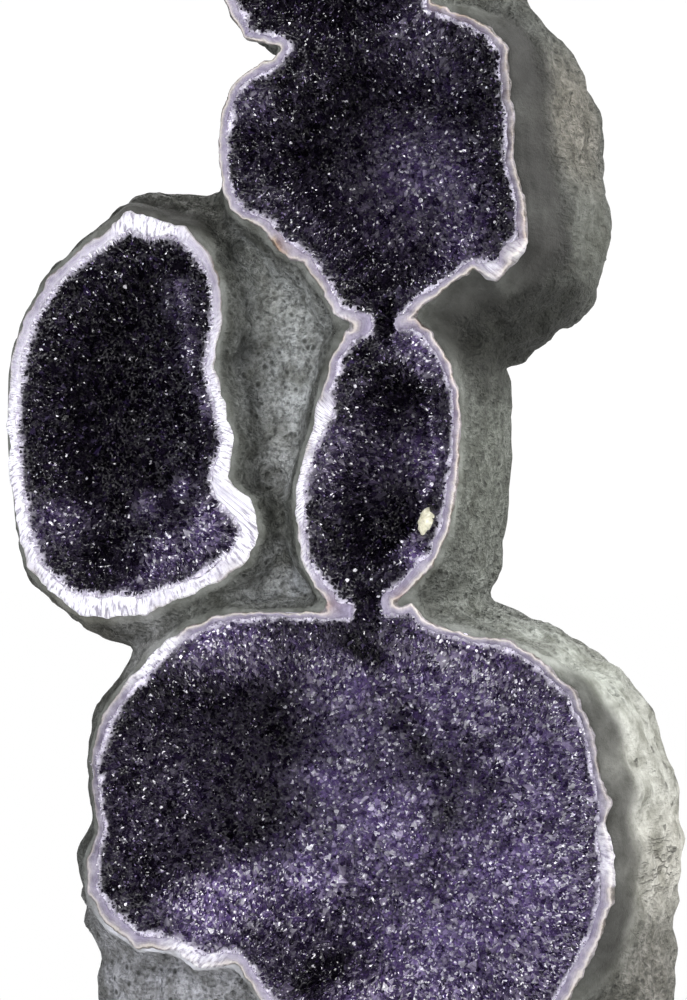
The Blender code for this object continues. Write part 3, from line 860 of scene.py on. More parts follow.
@dataclass
class RockSkin:
    """The basalt: its natural skin, lumps, furrows and the collar along each rim."""

    voxel: float = 0.0066
    rounding: float = 0.010
    lump: float = 0.0040
    furrow: float = 0.0038
    tuck: float = 0.010
    set_back: float = 0.0003
    lip_depth: float = 0.012
    crust_reach: float = 0.010
    base_weight: float = 0.25
    collar_strength: float = 0.86
    base_tone: str = "#6e706c"
    collar_tone: str = "#2a2927"
    zones: tuple[Zone, ...] = make_zones(
        (650, 760, 0.09, 66, 2.4, "#bfbfb8"), (662, 860, 0.12, 58, 2.4, "#bfbcb4"),
        (605, 665, 0.07, 54, 2.0, "#b9bdb5"), (650, 965, 0.12, 50, 2.0, "#97938d"),
        (640, 770, 0.24, 120, 1.6, "#a2a39b"), (600, 900, 0.28, 130, 1.2, "#85857d"),
        (400, 760, 0.36, 160, 1.0, "#83857e"), (420, 180, 0.30, 120, 1.0, "#7f817a"),
        (110, 400, 0.26, 120, 1.0, "#7c7e79"), (520, 620, 0.08, 50, 1.6, "#adb1ab"),
        (480, 480, 0.10, 70, 1.2, "#898d85"), (580, 120, 0.10, 46, 1.6, "#98938a"),
        # Painted shade: the near-black zones at (540, 310) and (480, 330) under the top-right lobe. Painted
        # light: the near-white zones from (294, 305) to (284, 585) and at (260, 262) lift the valley's
        # blue-grey tone.
        (585, 250, 0.12, 50, 1.0, "#64665f"), (540, 310, 0.10, 48, 2.8, "#24251f"),
        (480, 330, 0.08, 48, 2.4, "#26271f"), (294, 305, 0.08, 38, 3.0, "#e6e9ea"),
        (298, 385, 0.10, 42, 4.4, "#f4f7fa"), (292, 462, 0.10, 34, 6.0, "#f8fafd"),
        (284, 585, 0.08, 32, 5.0, "#f4f6fa"), (260, 262, 0.07, 26, 2.0, "#d2d5d4"),
        # A painted shadow of the left pocket's rim: the dark zones from (224, 262) to (268, 535) along it.
        (224, 262, 0.05, 18, 2.0, "#3a3c3a"), (232, 305, 0.05, 17, 2.3, "#2c2e2e"),
        (238, 350, 0.05, 16, 2.3, "#282a2c"), (244, 398, 0.05, 14, 1.9, "#303234"),
        (254, 500, 0.06, 17, 1.7, "#2e3030"), (268, 535, 0.07, 15, 1.6, "#303232"),
        (160, 200, 0.06, 50, 2.0, "#94948f"), (90, 630, 0.06, 50, 1.3, "#68655c"),
        (170, 975, 0.05, 64, 3.0, "#e2e2ec"), (150, 640, 0.04, 30, 1.6, "#a9a9aa"),
    )
    collars: tuple[Spot, ...] = make_spots(
        (535, 60, 0.0, 80), (545, 160, 0.0, 80), (545, 250, 0.0, 60), (470, 310, 0.0, 50, 0.8),
        (600, 720, 0.0, 70), (625, 820, 0.0, 80), (620, 930, 0.0, 80), (160, 205, 0.0, 60, 0.8),
    )
    pits: tuple[Spot, ...] = make_spots(
        (650, 740, 0.09, 90), (665, 840, 0.12, 80), (600, 660, 0.07, 70, 0.9), (540, 625, 0.06, 40, 0.6),
        (640, 800, 0.26, 150, 0.8), (592, 235, 0.12, 62, 0.75),
    )
    folds: tuple[Spot, ...] = make_spots(
        (650, 868, 0.10, 36), (625, 905, 0.10, 34, 0.7), (585, 150, 0.12, 50, 0.5),
    )
    tucks: tuple[Spot, ...] = make_spots(
        (262, 62, 0.03, 32, 2.2), (222, 130, 0.03, 55, 0.8), (225, 20, 0.03, 30, 0.7),
        (6, 400, 0.03, 90, 0.2), (14, 530, 0.03, 50, 0.2),
    )

    def build(self, front: FrontMap) -> bpy.types.Object:
        """Shape and dress the rock.

        Args:
            front: The distances on the sawn face.

        Returns:
            The finished piece.
        """
        rock = welded_copy("rock_skin", "basalt_shell", "main_agate_lining", "side_agate_lining")
        finish_modifier(rock, "REMESH", mode="VOXEL", voxel_size=self.voxel, adaptivity=0.0)
        self._soften(rock)
        self._sculpt(rock, front)
        shade(rock, True)
        hand_over(rock, Stone.BASALT, BasaltFinish().build(), "basalt_shell")
        return rock

    def _soften(self, rock: bpy.types.Object) -> None:
        """Round the creases between facets, but not the sawn face and base.

        Args:
            rock: The remeshed rock.
        """
        points = points_of(rock)
        loose = smooth_step(0.004, 0.022, points[:, 1] - FRONT) * smooth_step(0.002, 0.014, points[:, 2])
        group = rock.vertex_groups.new(name="loose")
        for share in np.unique(np.round(loose, 1)):
            chosen = np.flatnonzero(np.round(loose, 1) == share).tolist()
            group.add(chosen, float(share), "REPLACE")
        finish_modifier(rock, "SMOOTH", factor=0.5, iterations=9, vertex_group="loose")
        rock.vertex_groups.clear()

    def _sculpt(self, rock: bpy.types.Object, front: FrontMap) -> None:
        """Raise the skin's relief, roll the lip back and store the tones.

        Args:
            rock: The remeshed rock.
            front: The distances on the sawn face.
        """
        points = points_of(rock)
        normals = normals_of(rock)
        beside = front.distance(front.rims, points)
        behind = points[:, 1] - FRONT
        from_rim = np.hypot(beside, behind)
        collar = widest_share(self.collars, points)
        wild = smooth_step(0.0, 1.0, (from_rim - 0.003 - 0.030 * collar) / (0.012 + 0.020 * collar))
        hollow = self._in_hollow(points, normals)
        free = (1.0 - hollow) * smooth_step(0.003, 0.015, points[:, 2])
        relief = self.lump * ripple(points, 0.045, 3.0) * smooth_step(0.006, 0.05, from_rim)
        relief += 0.5 * self.lump * ripple(points, 0.019, 9.0) * wild
        relief -= self.furrow * np.maximum(0.0, ripple(points, (0.016, 0.016, 0.048), 5.0)) * wild
        relief -= self.furrow * np.maximum(0.0, ripple(points, 0.026, 17.0) - 0.1) * wild
        points += normals * (relief * free)[:, None]
        # The lip rolls away behind the agate, which is left standing a little proud of it.
        lip = np.where(beside > 0.0004, 0.0006 + self.rounding * smooth_step(0.0, 0.011, beside), 0.0009)
        near = behind < self.lip_depth
        points[:, 1] = np.where(near, np.maximum(points[:, 1], FRONT + lip), points[:, 1])
        points[:, 1] = np.maximum(points[:, 1], FRONT + self.set_back)
        points[:, 2] = np.maximum(points[:, 2], 0.0)
        for spot in self.tucks:
            points -= normals * (self.tuck * spot.share(points, DRAWN_BACK) * (1.0 - hollow))[:, None]
        points[:, 1] = np.maximum(points[:, 1], FRONT + self.set_back)
        put_points(rock, points)
        add_values(rock, "wild", wild)
        add_values(rock, "pitted", widest_share(self.pits, points, DRAWN_BACK))
        add_values(rock, "folded", widest_share(self.folds, points, DRAWN_BACK) * wild)
        add_tones(rock, "tone", self._tones(points, from_rim, collar))

    def _in_hollow(self, points: np.ndarray, normals: np.ndarray) -> np.ndarray:
        """Find the points on the hollows' walls, behind the crystals.

        Args:
            points: The vertices.
            normals: Their normals.

        Returns:
            One on a hollow's wall, zero on the outer skin.
        """
        crystals = node_tree_of("main_crystal_crust", "side_crystal_crust")
        found = np.zeros(len(points))
        for i, (point, normal) in enumerate(zip(points, normals)):
            spot = Vector(point) + Vector(normal) * 0.004
            found[i] = crystals.find_nearest(spot, self.crust_reach)[3] is not None
        return found

    def _tones(self, points: np.ndarray, from_rim: np.ndarray, collar: np.ndarray) -> np.ndarray:
        """Blend the zones' tones, some of which are painted shade and some painted light, then darken the
        collar along the rims.

        Args:
            points: The vertices.
            from_rim: Their distances from the rims.
            collar: Where the rock has a smooth dark collar.

        Returns:
            Linear colours.
        """
        total = np.full(len(points), self.base_weight)
        tones = np.outer(total, linear(self.base_tone)[:3])
        for zone in self.zones:
            share = zone.share(points, ALL_ROUND)
            tones += np.outer(share, zone.rgb())
            total += share
        tones /= total[:, None]
        high = smooth_step(0.70, 0.80, points[:, 2])
        from_rim = from_rim - 0.016 * high + 0.007 * ripple(points, 0.030, 13.0)
        fade = 1.0 - smooth_step(0.024, 0.058, from_rim)
        collar = ((self.collar_strength + 0.10 * high) * collar * fade)[:, None]
        return tones * (1.0 - collar) + np.array(linear(self.collar_tone)[:3]) * collar


@dataclass
class Rim:
    """An agate or quartz band along a mouth, with its sawn face and wavering layers."""

    name: str
    node: str
    stone: Stone
    finish: AgateFinish
    voxel: float = 0.0024
    depth: float = 0.016
    proud: float = 0.0012
    knobs: float = 0.0007
    waver: float = 0.0016
    swell: float = 0.45
    swell_proud: float = 0.004
    chamber_reach: float = 0.15
    stains: tuple[Zone, ...] = ()
    milks: tuple[Spot, ...] = ()
    lumps: tuple[Spot, ...] = ()
    centres: tuple[tuple[float, float], ...] = ((120, 410),)

    def build(self, front: FrontMap) -> bpy.types.Object:
        """Cut the band from the lining, shape its face and dress it.

        Args:
            front: The distances on the sawn face.

        Returns:
            The finished piece.
        """
        rim = welded_copy(self.name, self.node)
        cut = {"plane_co": (0.0, FRONT + self.depth, 0.0), "plane_no": (0.0, 1.0, 0.0)}
        edit_whole(rim, bpy.ops.mesh.bisect, use_fill=True, clear_outer=True, **cut)
        finish_modifier(rim, "REMESH", mode="VOXEL", voxel_size=self.voxel, adaptivity=0.0)
        finish_modifier(rim, "SMOOTH", factor=0.5, iterations=3)
        points = points_of(rim)
        outer = front.distance(front.rock, points)
        inner = front.distance(front.crystals, points)
        across = outer / np.maximum(outer + inner, 1e-5)
        facing = 1.0 - smooth_step(0.002, 0.006, points[:, 1] - FRONT)
        crown = (1.0 - np.abs(2.0 * across - 1.0) ** 3) * self.proud
        grain = self.knobs * np.maximum(-0.4, ripple(points, 0.0085, 2.0))
        sway = [
            self.waver * ripple(points, 0.016, shift) + 0.5 * self.waver * ripple(points, 0.006, shift)
            for shift in (5.0, 11.0)
        ]
        near = 1.0 - smooth_step(0.006, 0.012, points[:, 1] - FRONT)
        points[:, 0] += sway[0] * near
        points[:, 2] += sway[1] * near
        points[:, 1] -= (crown + grain) * facing
        milk = widest_share(self.milks, points)
        # Knobs of agate and quartz that swell out of the band.
        for spot in self.lumps:
            share = spot.share(points) * near
            gap = points[:, [0, 2]] - spot.middle()[[0, 2]]
            points[:, [0, 2]] += gap * (self.swell * share)[:, None]
            points[:, 1] -= self.swell_proud * share
        put_points(rim, points)
        add_values(rim, "across", across)
        add_values(rim, "along", self._along(points))
        add_values(rim, "milk", np.clip(milk + 0.18 * ripple(points, 0.012, 7.0) * (milk > 0.05), 0.0, 1.0))
        add_tones(rim, "stain", self._stains(points))
        shade(rim, True)
        hand_over(rim, self.stone, self.finish.build(), self.node)
        return rim

    def _along(self, points: np.ndarray) -> np.ndarray:
        """How far along the band each vertex is, in metres, turning about the middle of its chamber.

        Args:
            points: The vertices.

        Returns:
            The lengths.
        """
        centres = np.array([SHEET.place(*centre) for centre in self.centres])[:, [0, 2]]
        gaps = points[:, None, [0, 2]] - centres[None]
        nearest = np.argmin(np.linalg.norm(gaps, axis=2), axis=1)
        gap = gaps[np.arange(len(points)), nearest]
        return np.arctan2(gap[:, 1], gap[:, 0]) * self.chamber_reach + nearest

    def _stains(self, points: np.ndarray) -> np.ndarray:
        """Blend the stains' colours over white.

        Args:
            points: The vertices.

        Returns:
            Linear colours to multiply the bands with.
        """
        tones = np.ones((len(points), 3))
        for stain in self.stains:
            share = stain.share(points)[:, None]
            tones = tones * (1.0 - share) + stain.rgb() * share
        return tones


@dataclass
class CrystalBed:
    """The crust of one hollow and the amethyst points that stand on it."""

    name: str
    node: str
    shells: tuple[str, ...] = ("basalt_shell", "main_agate_lining", "side_agate_lining")
    voxel: float = 0.0075
    wall: float = 0.0025
    spacing: float = 0.0034
    radius: float = 0.0029
    sunk: float = 0.0012
    under: float = 0.007
    fade: float = 0.0034
    crust_reach: float = 0.012
    stone_reach: float = 0.030
    knob_gap: float = 0.004
    packing: float = 0.70
    tries: int = 6
    sides: int = 6
    size_spread: float = 0.26
    giants: float = 0.04
    giant_size: float = 1.6
    lean: float = 0.30
    tip_drift: float = 0.18
    least_back: float = 0.0004
    seed: int = 7
    splits: tuple[float, ...] = ()
    light_spots: tuple[Spot, ...] = ()

    def build(self, front: FrontMap) -> list[bpy.types.Object]:
        """Lay the bed, then stand the points on it.

        Args:
            front: The distances on the sawn face.

        Returns:
            The finished pieces.
        """
        bed = self._lay(front)
        points, normals, areas = self._facets(bed)
        spots, ways = self._scatter(points, normals, areas)
        knob = node_tree_of("calcite_knob")
        kept = (front.distance(front.rims, spots) > 0.0004) | (spots[:, 1] > FRONT + 0.02)
        kept &= np.array([knob.find_nearest(Vector(spot), self.knob_gap)[3] is None for spot in spots])
        spots, ways = spots[kept], ways[kept]
        made = self._stand(spots, ways, front)
        finish_modifier(bed, "SOLIDIFY", thickness=self.wall, offset=-1.0)
        self._store(bed, points_of(bed), front)
        shade(bed, True)
        hand_over(bed, Stone.AMETHYST, BedFinish(name=self.name + "_bed_stone").build(), self.node)
        return [bed, *made]

    def _lay(self, front: FrontMap) -> bpy.types.Object:
        """Take the hollow's wall from a fused copy of the stones and set it back from the sawn face.

        Args:
            front: The distances on the sawn face.

        Returns:
            The wall as an open sheet that faces the hollow.
        """
        bed = welded_copy(self.name + "_bed", *self.shells, self.node)
        finish_modifier(bed, "REMESH", mode="VOXEL", voxel_size=self.voxel, adaptivity=0.0)
        crust = node_tree_of(self.node)
        others = node_tree_of(*self.shells)
        mesh = bmesh.new()
        mesh.from_mesh(bed.data)
        away = []
        for face in mesh.faces:
            middle = face.calc_center_median()
            mine = crust.find_nearest(middle, self.crust_reach)[3]
            near = others.find_nearest(middle, self.stone_reach)[3]
            if mine is None or (near is not None and near + self.under < mine):
                away.append(face)
        bmesh.ops.delete(mesh, geom=away, context="FACES")
        mesh.to_mesh(bed.data)
        mesh.free()
        finish_modifier(bed, "SMOOTH", factor=0.5, iterations=8)
        points = points_of(bed)
        inward = front.distance(front.rims, points)
        least = 0.0018 + 0.019 * smooth_step(0.0, 0.030, inward)
        points[:, 1] = np.maximum(points[:, 1], FRONT + least)
        put_points(bed, points)
        finish_modifier(bed, "SMOOTH", factor=0.5, iterations=2)
        return bed

    @staticmethod
    def _facets(bed: bpy.types.Object) -> tuple[np.ndarray, np.ndarray, np.ndarray]:
        """The bed's triangles.

        Args:
            bed: The open sheet.

        Returns:
            Corners by triangle, smooth normals at those corners, and areas.
        """
        data = bed.data
        data.calc_loop_triangles()
        index = np.empty(len(data.loop_triangles) * 3, dtype=np.int64)
        data.loop_triangles.foreach_get("vertices", index)
        index = index.reshape(-1, 3)
        corners = points_of(bed)[index]
        normals = normals_of(bed)[index]
        cross = np.cross(corners[:, 1] - corners[:, 0], corners[:, 2] - corners[:, 0])
        return corners, normals, np.linalg.norm(cross, axis=1) / 2

    def _scatter(
        self, corners: np.ndarray, normals: np.ndarray, areas: np.ndarray
    ) -> tuple[np.ndarray, np.ndarray]:
        """Scatter places over the bed, none closer than the spacing.

        Args:
            corners: The triangles' corners.
            normals: The normals at those corners.
            areas: The triangles' areas.

        Returns:
            The places and the bed's normals there.
        """
        rng = np.random.default_rng(self.seed)
        wanted = int(areas.sum() / (self.spacing**2 * self.packing) * self.tries)
        chosen = np.sort(rng.choice(len(areas), wanted, p=areas / areas.sum()))
        share = rng.random((wanted, 2))
        over = share.sum(axis=1) > 1
        share[over] = 1 - share[over]
        weights = np.column_stack([1 - share.sum(axis=1), share])[:, :, None]
        spots = (corners[chosen] * weights).sum(axis=1)
        ways = unit((normals[chosen] * weights).sum(axis=1))
        order = rng.permutation(wanted)
        grid: dict[tuple[int, int, int], list[list[float]]] = {}
        keys = np.floor(spots / self.spacing).astype(int)
        kept: list[int] = []
        around = [(a, b, c) for a in (-1, 0, 1) for b in (-1, 0, 1) for c in (-1, 0, 1)]
        rows = spots.tolist()
        limit = self.spacing**2
        for number in order.tolist():
            x, y, z = rows[number]
            a, b, c = keys[number]
            near = (other for i, j, k in around for other in grid.get((a + i, b + j, c + k), ()))
            if all((x - u) ** 2 + (y - v) ** 2 + (z - w) ** 2 >= limit for u, v, w in near):
                grid.setdefault((a, b, c), []).append(rows[number])
                kept.append(number)
        return spots[kept], ways[kept]

    def _stand(
        self, spots: np.ndarray, ways: np.ndarray, front: FrontMap
    ) -> list[bpy.types.Object]:
        """Stand a pointed crystal on each place and join them.

        Args:
            spots: The places.
            ways: The bed's normals there.
            front: The distances on the sawn face.

        Returns:
            One piece, or one for each stretch of height between the splits.
        """
        rng = np.random.default_rng(self.seed + 1)
        count = len(spots)
        inward = front.distance(front.rims, spots)
        depth = spots[:, 1] - FRONT
        edge = 1.0 - smooth_step(0.0, 0.011, np.minimum(inward + 0.5 * depth, depth + 0.004))
        size = np.exp(rng.normal(0.0, self.size_spread, count)) * (1.0 - 0.35 * edge)
        size *= np.where(rng.random(count) < self.giants, self.giant_size, 1.0)
        axis = unit(ways + rng.normal(0.0, self.lean, (count, 3)))
        helper = np.where(np.abs(axis[:, [2]]) < 0.9, np.eye(3)[[2]], np.eye(3)[[0]])
        side = unit(np.cross(axis, helper))
        other = np.cross(axis, side)
        radius = self.radius * size
        tall = radius * rng.uniform(1.15, 1.9, count) + self.sunk
        spin = rng.uniform(0.0, math.tau, count)
        foot = spots - ways * self.sunk
        ring = []
        for k in range(self.sides):
            angle = spin + k * math.tau / self.sides
            reach = radius * rng.uniform(0.85, 1.15, count) * (1.0 if k % 2 == 0 else 0.72)
            spoke = side * np.cos(angle)[:, None] + other * np.sin(angle)[:, None]
            ring.append(foot + spoke * reach[:, None])
        drift = side * rng.normal(0, self.tip_drift, (count, 1))
        drift = drift + other * rng.normal(0, self.tip_drift, (count, 1))
        drift = drift * radius[:, None]
        tip = foot + axis * tall[:, None] + drift
        least = FRONT + self.least_back
        tip[:, 1] = np.maximum(tip[:, 1], least)
        for row in ring:
            row[:, 1] = np.maximum(row[:, 1], least + 2 * self.least_back)
        corners = np.stack([*ring, tip], axis=1)
        tint = rng.beta(1.0, 1.8, count)
        edges = [-math.inf, *self.splits, math.inf]
        made = []
        finish = AmethystFinish(name=self.name + "_points_stone").build()
        for number, (low, high) in enumerate(zip(edges, edges[1:])):
            mine = (spots[:, 2] >= low) & (spots[:, 2] < high)
            if mine.any():
                made.append(self._join(number, corners[mine], tint[mine], spots[mine], front, finish))
        return made

    def _join(
        self, number: int, corners: np.ndarray, tint: np.ndarray, spots: np.ndarray,
        front: FrontMap, finish: bpy.types.Material,
    ) -> bpy.types.Object:
        """Write points as one mesh and hand it over.

        Args:
            number: The piece's number.
            corners: The corners of each crystal, the tip last.
            tint: Each point's depth of violet.
            spots: Where each stands.
            front: The distances on the sawn face.
            finish: Its material.

        Returns:
            The finished piece.
        """
        piece = pointed_solids(f"{self.name}_points_{number}", corners)
        each = corners.shape[1]
        self._store(piece, np.repeat(spots, each, axis=0), front)
        add_values(piece, "tint", np.repeat(tint, each))
        shade(piece, False)
        hand_over(piece, Stone.AMETHYST, finish, self.node)
        return piece

    def _store(self, piece: bpy.types.Object, points: np.ndarray, front: FrontMap) -> None:
        """Store how near the rim each vertex is and how much painted light its patch of violet has.

        Args:
            piece: The piece.
            points: The place that each vertex belongs to.
            front: The distances on the sawn face.
        """
        inward = front.distance(front.rims, points)
        depth = points[:, 1] - FRONT
        waver = 0.0025 * ripple(points, 0.009, 4.0)
        rim = 1.0 - smooth_step(0.001, self.fade, np.minimum(inward, depth) + 0.25 * depth + waver)
        # Painted light: pools where light falls on the violet, less of it where a spot's weight is below
        # zero.
        painted_light = np.zeros(len(points))
        for spot in self.light_spots:
            share = spot.share(points)
            painted_light = np.maximum(painted_light, share) if spot.weight > 0 else painted_light + share
        cloud = ripple(points, 0.024, 8.0) + 0.6 * ripple(points, 0.010, 3.0)
        painted_light = np.clip(painted_light * (1.0 + 0.35 * cloud) + 0.03 * cloud, 0.0, 1.0)
        add_values(piece, "rim", rim)
        add_values(piece, "painted_light", painted_light)


@dataclass
class QuartzTeeth:
    """The fringe of small white quartz teeth between a band and the violet points."""

    name: str
    node: str
    stone: Stone
    spacing: float = 0.0017
    length: tuple[float, float] = (0.0016, 0.0036)
    radius: tuple[float, float] = (0.0008, 0.0013)
    foot_white: float = 0.60
    tip_white: float = 0.08
    # The share of painted light given all over the teeth.
    painted_light: float = 0.6
    facet: float = 1.4
    sides: int = 5
    edge_depth: float = 0.0016
    edge_gap: tuple[float, float] = (0.0003, 0.0026)
    rows: tuple[float, ...] = (0.0004, 0.0026, 0.0050)
    seed: int = 3

    def build(self, rim: bpy.types.Object, front: FrontMap) -> bpy.types.Object:
        """Stand the teeth along the band's inner edge.

        Args:
            rim: The finished band.
            front: The distances on the sawn face.

        Returns:
            The finished piece.
        """
        rng = np.random.default_rng(self.seed)
        points = points_of(rim)
        points = points[points[:, 1] < FRONT + self.edge_depth]
        gap = front.distance(front.crystals, points)
        points = points[(gap > self.edge_gap[0]) & (gap < self.edge_gap[1])]
        points = points[rng.permutation(len(points))]
        feet = self._thin(points)
        toward = []
        for x, _, z in feet:
            away = front.crystals.find_nearest(Vector((x, FRONT, z)))[0] - Vector((x, FRONT, z))
            toward.append((away.x, 0.0, away.z))
        toward = unit(np.array(toward))
        corners = np.concatenate([self._row(feet, toward, depth, rng) for depth in self.rows])
        count, each = corners.shape[:2]
        piece = pointed_solids(self.name, corners)
        add_values(piece, "rim", np.tile([self.foot_white] * (each - 1) + [self.tip_white], count))
        add_values(piece, "painted_light", np.full(count * each, self.painted_light))
        add_values(piece, "tint", np.repeat(rng.random(count), each))
        shade(piece, False)
        finish = AmethystFinish(name=self.name + "_stone", facet=self.facet)
        hand_over(piece, self.stone, finish.build(), self.node)
        return piece

    def _thin(self, points: np.ndarray) -> np.ndarray:
        """Keep points that are no closer to one another than the spacing.

        Args:
            points: The points, the first of them kept first.

        Returns:
            The kept points.
        """
        grid: dict[tuple[int, int], list[tuple[float, float]]] = {}
        kept = []
        for point in points.tolist():
            x, z = point[0], point[2]
            a, c = int(x // self.spacing), int(z // self.spacing)
            near = [other for i in (-1, 0, 1) for j in (-1, 0, 1) for other in grid.get((a + i, c + j), ())]
            if all((x - u) ** 2 + (z - w) ** 2 >= self.spacing**2 for u, w in near):
                grid.setdefault((a, c), []).append((x, z))
                kept.append(point)
        return np.array(kept)

    def _row(
        self, feet: np.ndarray, toward: np.ndarray, depth: float, rng: np.random.Generator
    ) -> np.ndarray:
        """One row of teeth at a depth behind the sawn face.

        Args:
            feet: Where the teeth start.
            toward: The way into the hollow at each.
            depth: Metres behind the sawn face.
            rng: The source of their unevenness.

        Returns:
            The corners of each tooth, the tip last.
        """
        count = len(feet)
        way = toward + np.column_stack(
            [rng.normal(0, 0.28, count), rng.uniform(-0.25, 0.55, count), rng.normal(0, 0.28, count)]
        )
        way = unit(way)
        side = unit(np.cross(way, (0.0, 1.0, 0.0)))
        other = np.cross(way, side)
        radius = rng.uniform(*self.radius, count)[:, None]
        length = rng.uniform(*self.length, count)[:, None]
        foot = feet.copy()
        foot[:, 1] = FRONT + depth + rng.uniform(0.0, 0.001, count)
        foot += toward * rng.uniform(-0.0010, 0.0012, count)[:, None]
        turns = [k * math.tau / self.sides for k in range(self.sides)]
        ring = [foot + (side * math.cos(turn) + other * math.sin(turn)) * radius for turn in turns]
        return np.stack([*ring, foot + way * length], axis=1)


@dataclass
class Nodule:
    """The cream calcite nodule on the middle chamber's wall."""

    lump: float = 0.0016

    def build(self) -> bpy.types.Object:
        """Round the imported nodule, give it small lumps and dress it.

        Returns:
            The finished piece.
        """
        knob = welded_copy("calcite_nodule", "calcite_knob")
        edit_whole(knob, bpy.ops.mesh.subdivide, number_cuts=3, smoothness=1.0)
        finish_modifier(knob, "SMOOTH", factor=0.5, iterations=2)
        points = points_of(knob)
        relief = self.lump * ripple(points, 0.007, 1.0) + 0.4 * self.lump * ripple(points, 0.003, 6.0)
        middle = points.mean(axis=0)
        points = middle + (points - middle) * (1.45, 1.1, 1.1) + (0.006, 0.0, -0.002)
        put_points(knob, points + normals_of(knob) * relief[:, None])
        shade(knob, True)
        hand_over(knob, Stone.CALCITE, CalciteFinish().build(), "calcite_knob")
        return knob


@dataclass(frozen=True)
class Lamp:
    """A soft light: its place, aim, sides, power and colour, and its beam in degrees if it is a spot."""

    name: str
    place: tuple[float, float, float]
    aim: tuple[float, float, float]
    sides: tuple[float, float]
    power: float
    colour: str = "#ffffff"
    beam: float = 0.0


@dataclass
class Studio:
    """The plain room: floor, backdrop, lights and the camera."""

    lamps: tuple[Lamp, ...] = (
        Lamp("key", (-1.7, -2.7, 2.9), (0.0, 0.0, 0.7), (0.85, 0.85), 62.0),
        Lamp("front_high", (0.9, -3.2, 2.6), (0.1, 0.0, 0.5), (0.65, 0.6), 42.0),
        Lamp("right_side", (3.0, -1.3, 1.3), (0.2, 0.0, 0.6), (0.8, 1.8), 80.0),
        Lamp("right_high", (2.7, 0.5, 3.0), (0.1, 0.0, 0.7), (1.2, 1.2), 150.0),
        Lamp("left_low", (-2.0, -3.0, 0.8), (0.0, 0.0, 0.5), (0.5, 0.8), 38.0, "#eef2ff"),
        Lamp("front_low", (1.4, -3.4, 0.5), (0.0, 0.0, 0.5), (0.6, 0.4), 22.0),
        Lamp("low_spot", (0.4, -3.7, 1.1), (0.03, 0.0, 0.28), (0.75, 0.75), 130.0, beam=11.0),
        Lamp("back", (-1.0, 3.4, 2.2), (0.0, 0.0, 0.6), (1.6, 1.6), 70.0),
    )
    backdrop_reach: float = 24.0
    backdrop_height: float = 50.0
    cut_in_floor: float = 0.5
    room_light: float = 0.09

    def build(self) -> None:
        """Set up the room."""
        self._room()
        for lamp in self.lamps:
            self._hang(lamp)
        self._camera()
        world = bpy.data.worlds.new("room_light")
        bpy.context.scene.world = world
        world.use_nodes = True
        sockets = world.node_tree.nodes["Background"].inputs
        sockets["Color"].default_value = linear("#eef0f4")
        sockets["Strength"].default_value = self.room_light
        bpy.context.scene.view_settings.view_transform = "Standard"

    def _room(self) -> None:
        """Lay the floor and put the white backdrop round it."""
        deselect_all()
        bpy.ops.mesh.primitive_circle_add(
            vertices=96, radius=self.backdrop_reach, fill_type="NGON", location=(0.0, 0.0, -0.0005)
        )
        floor = bpy.context.object
        floor.name = "floor"
        # Pale paper that keeps the stone's soft shadow near it and fades to the white of the backdrop.
        patch = Patch("pale_floor")
        mottled = patch.ramp(patch.grain(300.0, 2.0), [(0.3, "#ececea"), (0.7, "#f4f3f1")])
        place = patch.add("ShaderNodeTexCoord").outputs["Object"]
        reach = patch.add("ShaderNodeVectorMath", {"operation": "LENGTH"}, i0=place).outputs["Value"]
        share = patch.span(reach, 0.45, 1.0)
        patch.dress(Base_Color=mottled, Roughness=0.8, Specular_IOR_Level=0.1)
        white = patch.add("ShaderNodeEmission", Color=linear("#ffffff"), Strength=1.0)
        blend = patch.add("ShaderNodeMixShader", i0=share, i1=patch.shader.outputs[0], i2=white.outputs[0])
        patch.set(patch.output, "Surface", blend.outputs[0])
        floor.data.materials.append(patch.material)
        deselect_all()
        middle = (0.0, 0.0, self.backdrop_height / 2 - self.cut_in_floor)
        bpy.ops.mesh.primitive_cylinder_add(
            vertices=96,
            radius=self.backdrop_reach,
            depth=self.backdrop_height,
            end_fill_type="NOTHING",
            location=middle,
        )
        wall = bpy.context.object
        wall.name = "backdrop"
        patch = Patch("white_backdrop")
        wall.data.materials.append(
            patch.dress(Base_Color=linear("#000000"), Emission_Color=linear("#ffffff"), Emission_Strength=1.0)
        )
        wall.visible_diffuse = wall.visible_glossy = wall.visible_transmission = wall.visible_shadow = False

    @staticmethod
    def _hang(lamp: Lamp) -> None:
        """Hang one light and turn it to its aim.

        Args:
            lamp: The light.
        """
        data = bpy.data.lights.new(lamp.name, "SPOT" if lamp.beam else "AREA")
        if lamp.beam:
            data.spot_size = math.radians(lamp.beam)
            data.spot_blend = 1.0
            data.shadow_soft_size = lamp.sides[0] / 2
        else:
            data.shape = "RECTANGLE"
            data.size, data.size_y = lamp.sides
        data.energy = lamp.power
        data.color = linear(lamp.colour)[:3]
        item = new_object(lamp.name, data)
        item.location = lamp.place
        item.rotation_euler = (Vector(lamp.aim) - Vector(lamp.place)).to_track_quat("-Z", "Y").to_euler()

    @staticmethod
    def _camera() -> None:
        """Stand the camera at the sheet's eye, so that the sheet fills its frame."""
        data = bpy.data.cameras.new("camera")
        data.sensor_fit = "VERTICAL"
        data.sensor_height = SENSOR
        data.sensor_width = SENSOR
        data.lens = SENSOR * SHEET.distance / (SHEET.height * MM)
        item = new_object("camera", data)
        item.location = SHEET.eye()
        item.rotation_euler = (math.pi / 2, 0.0, SHEET.azimuth)
        bpy.context.scene.camera = item


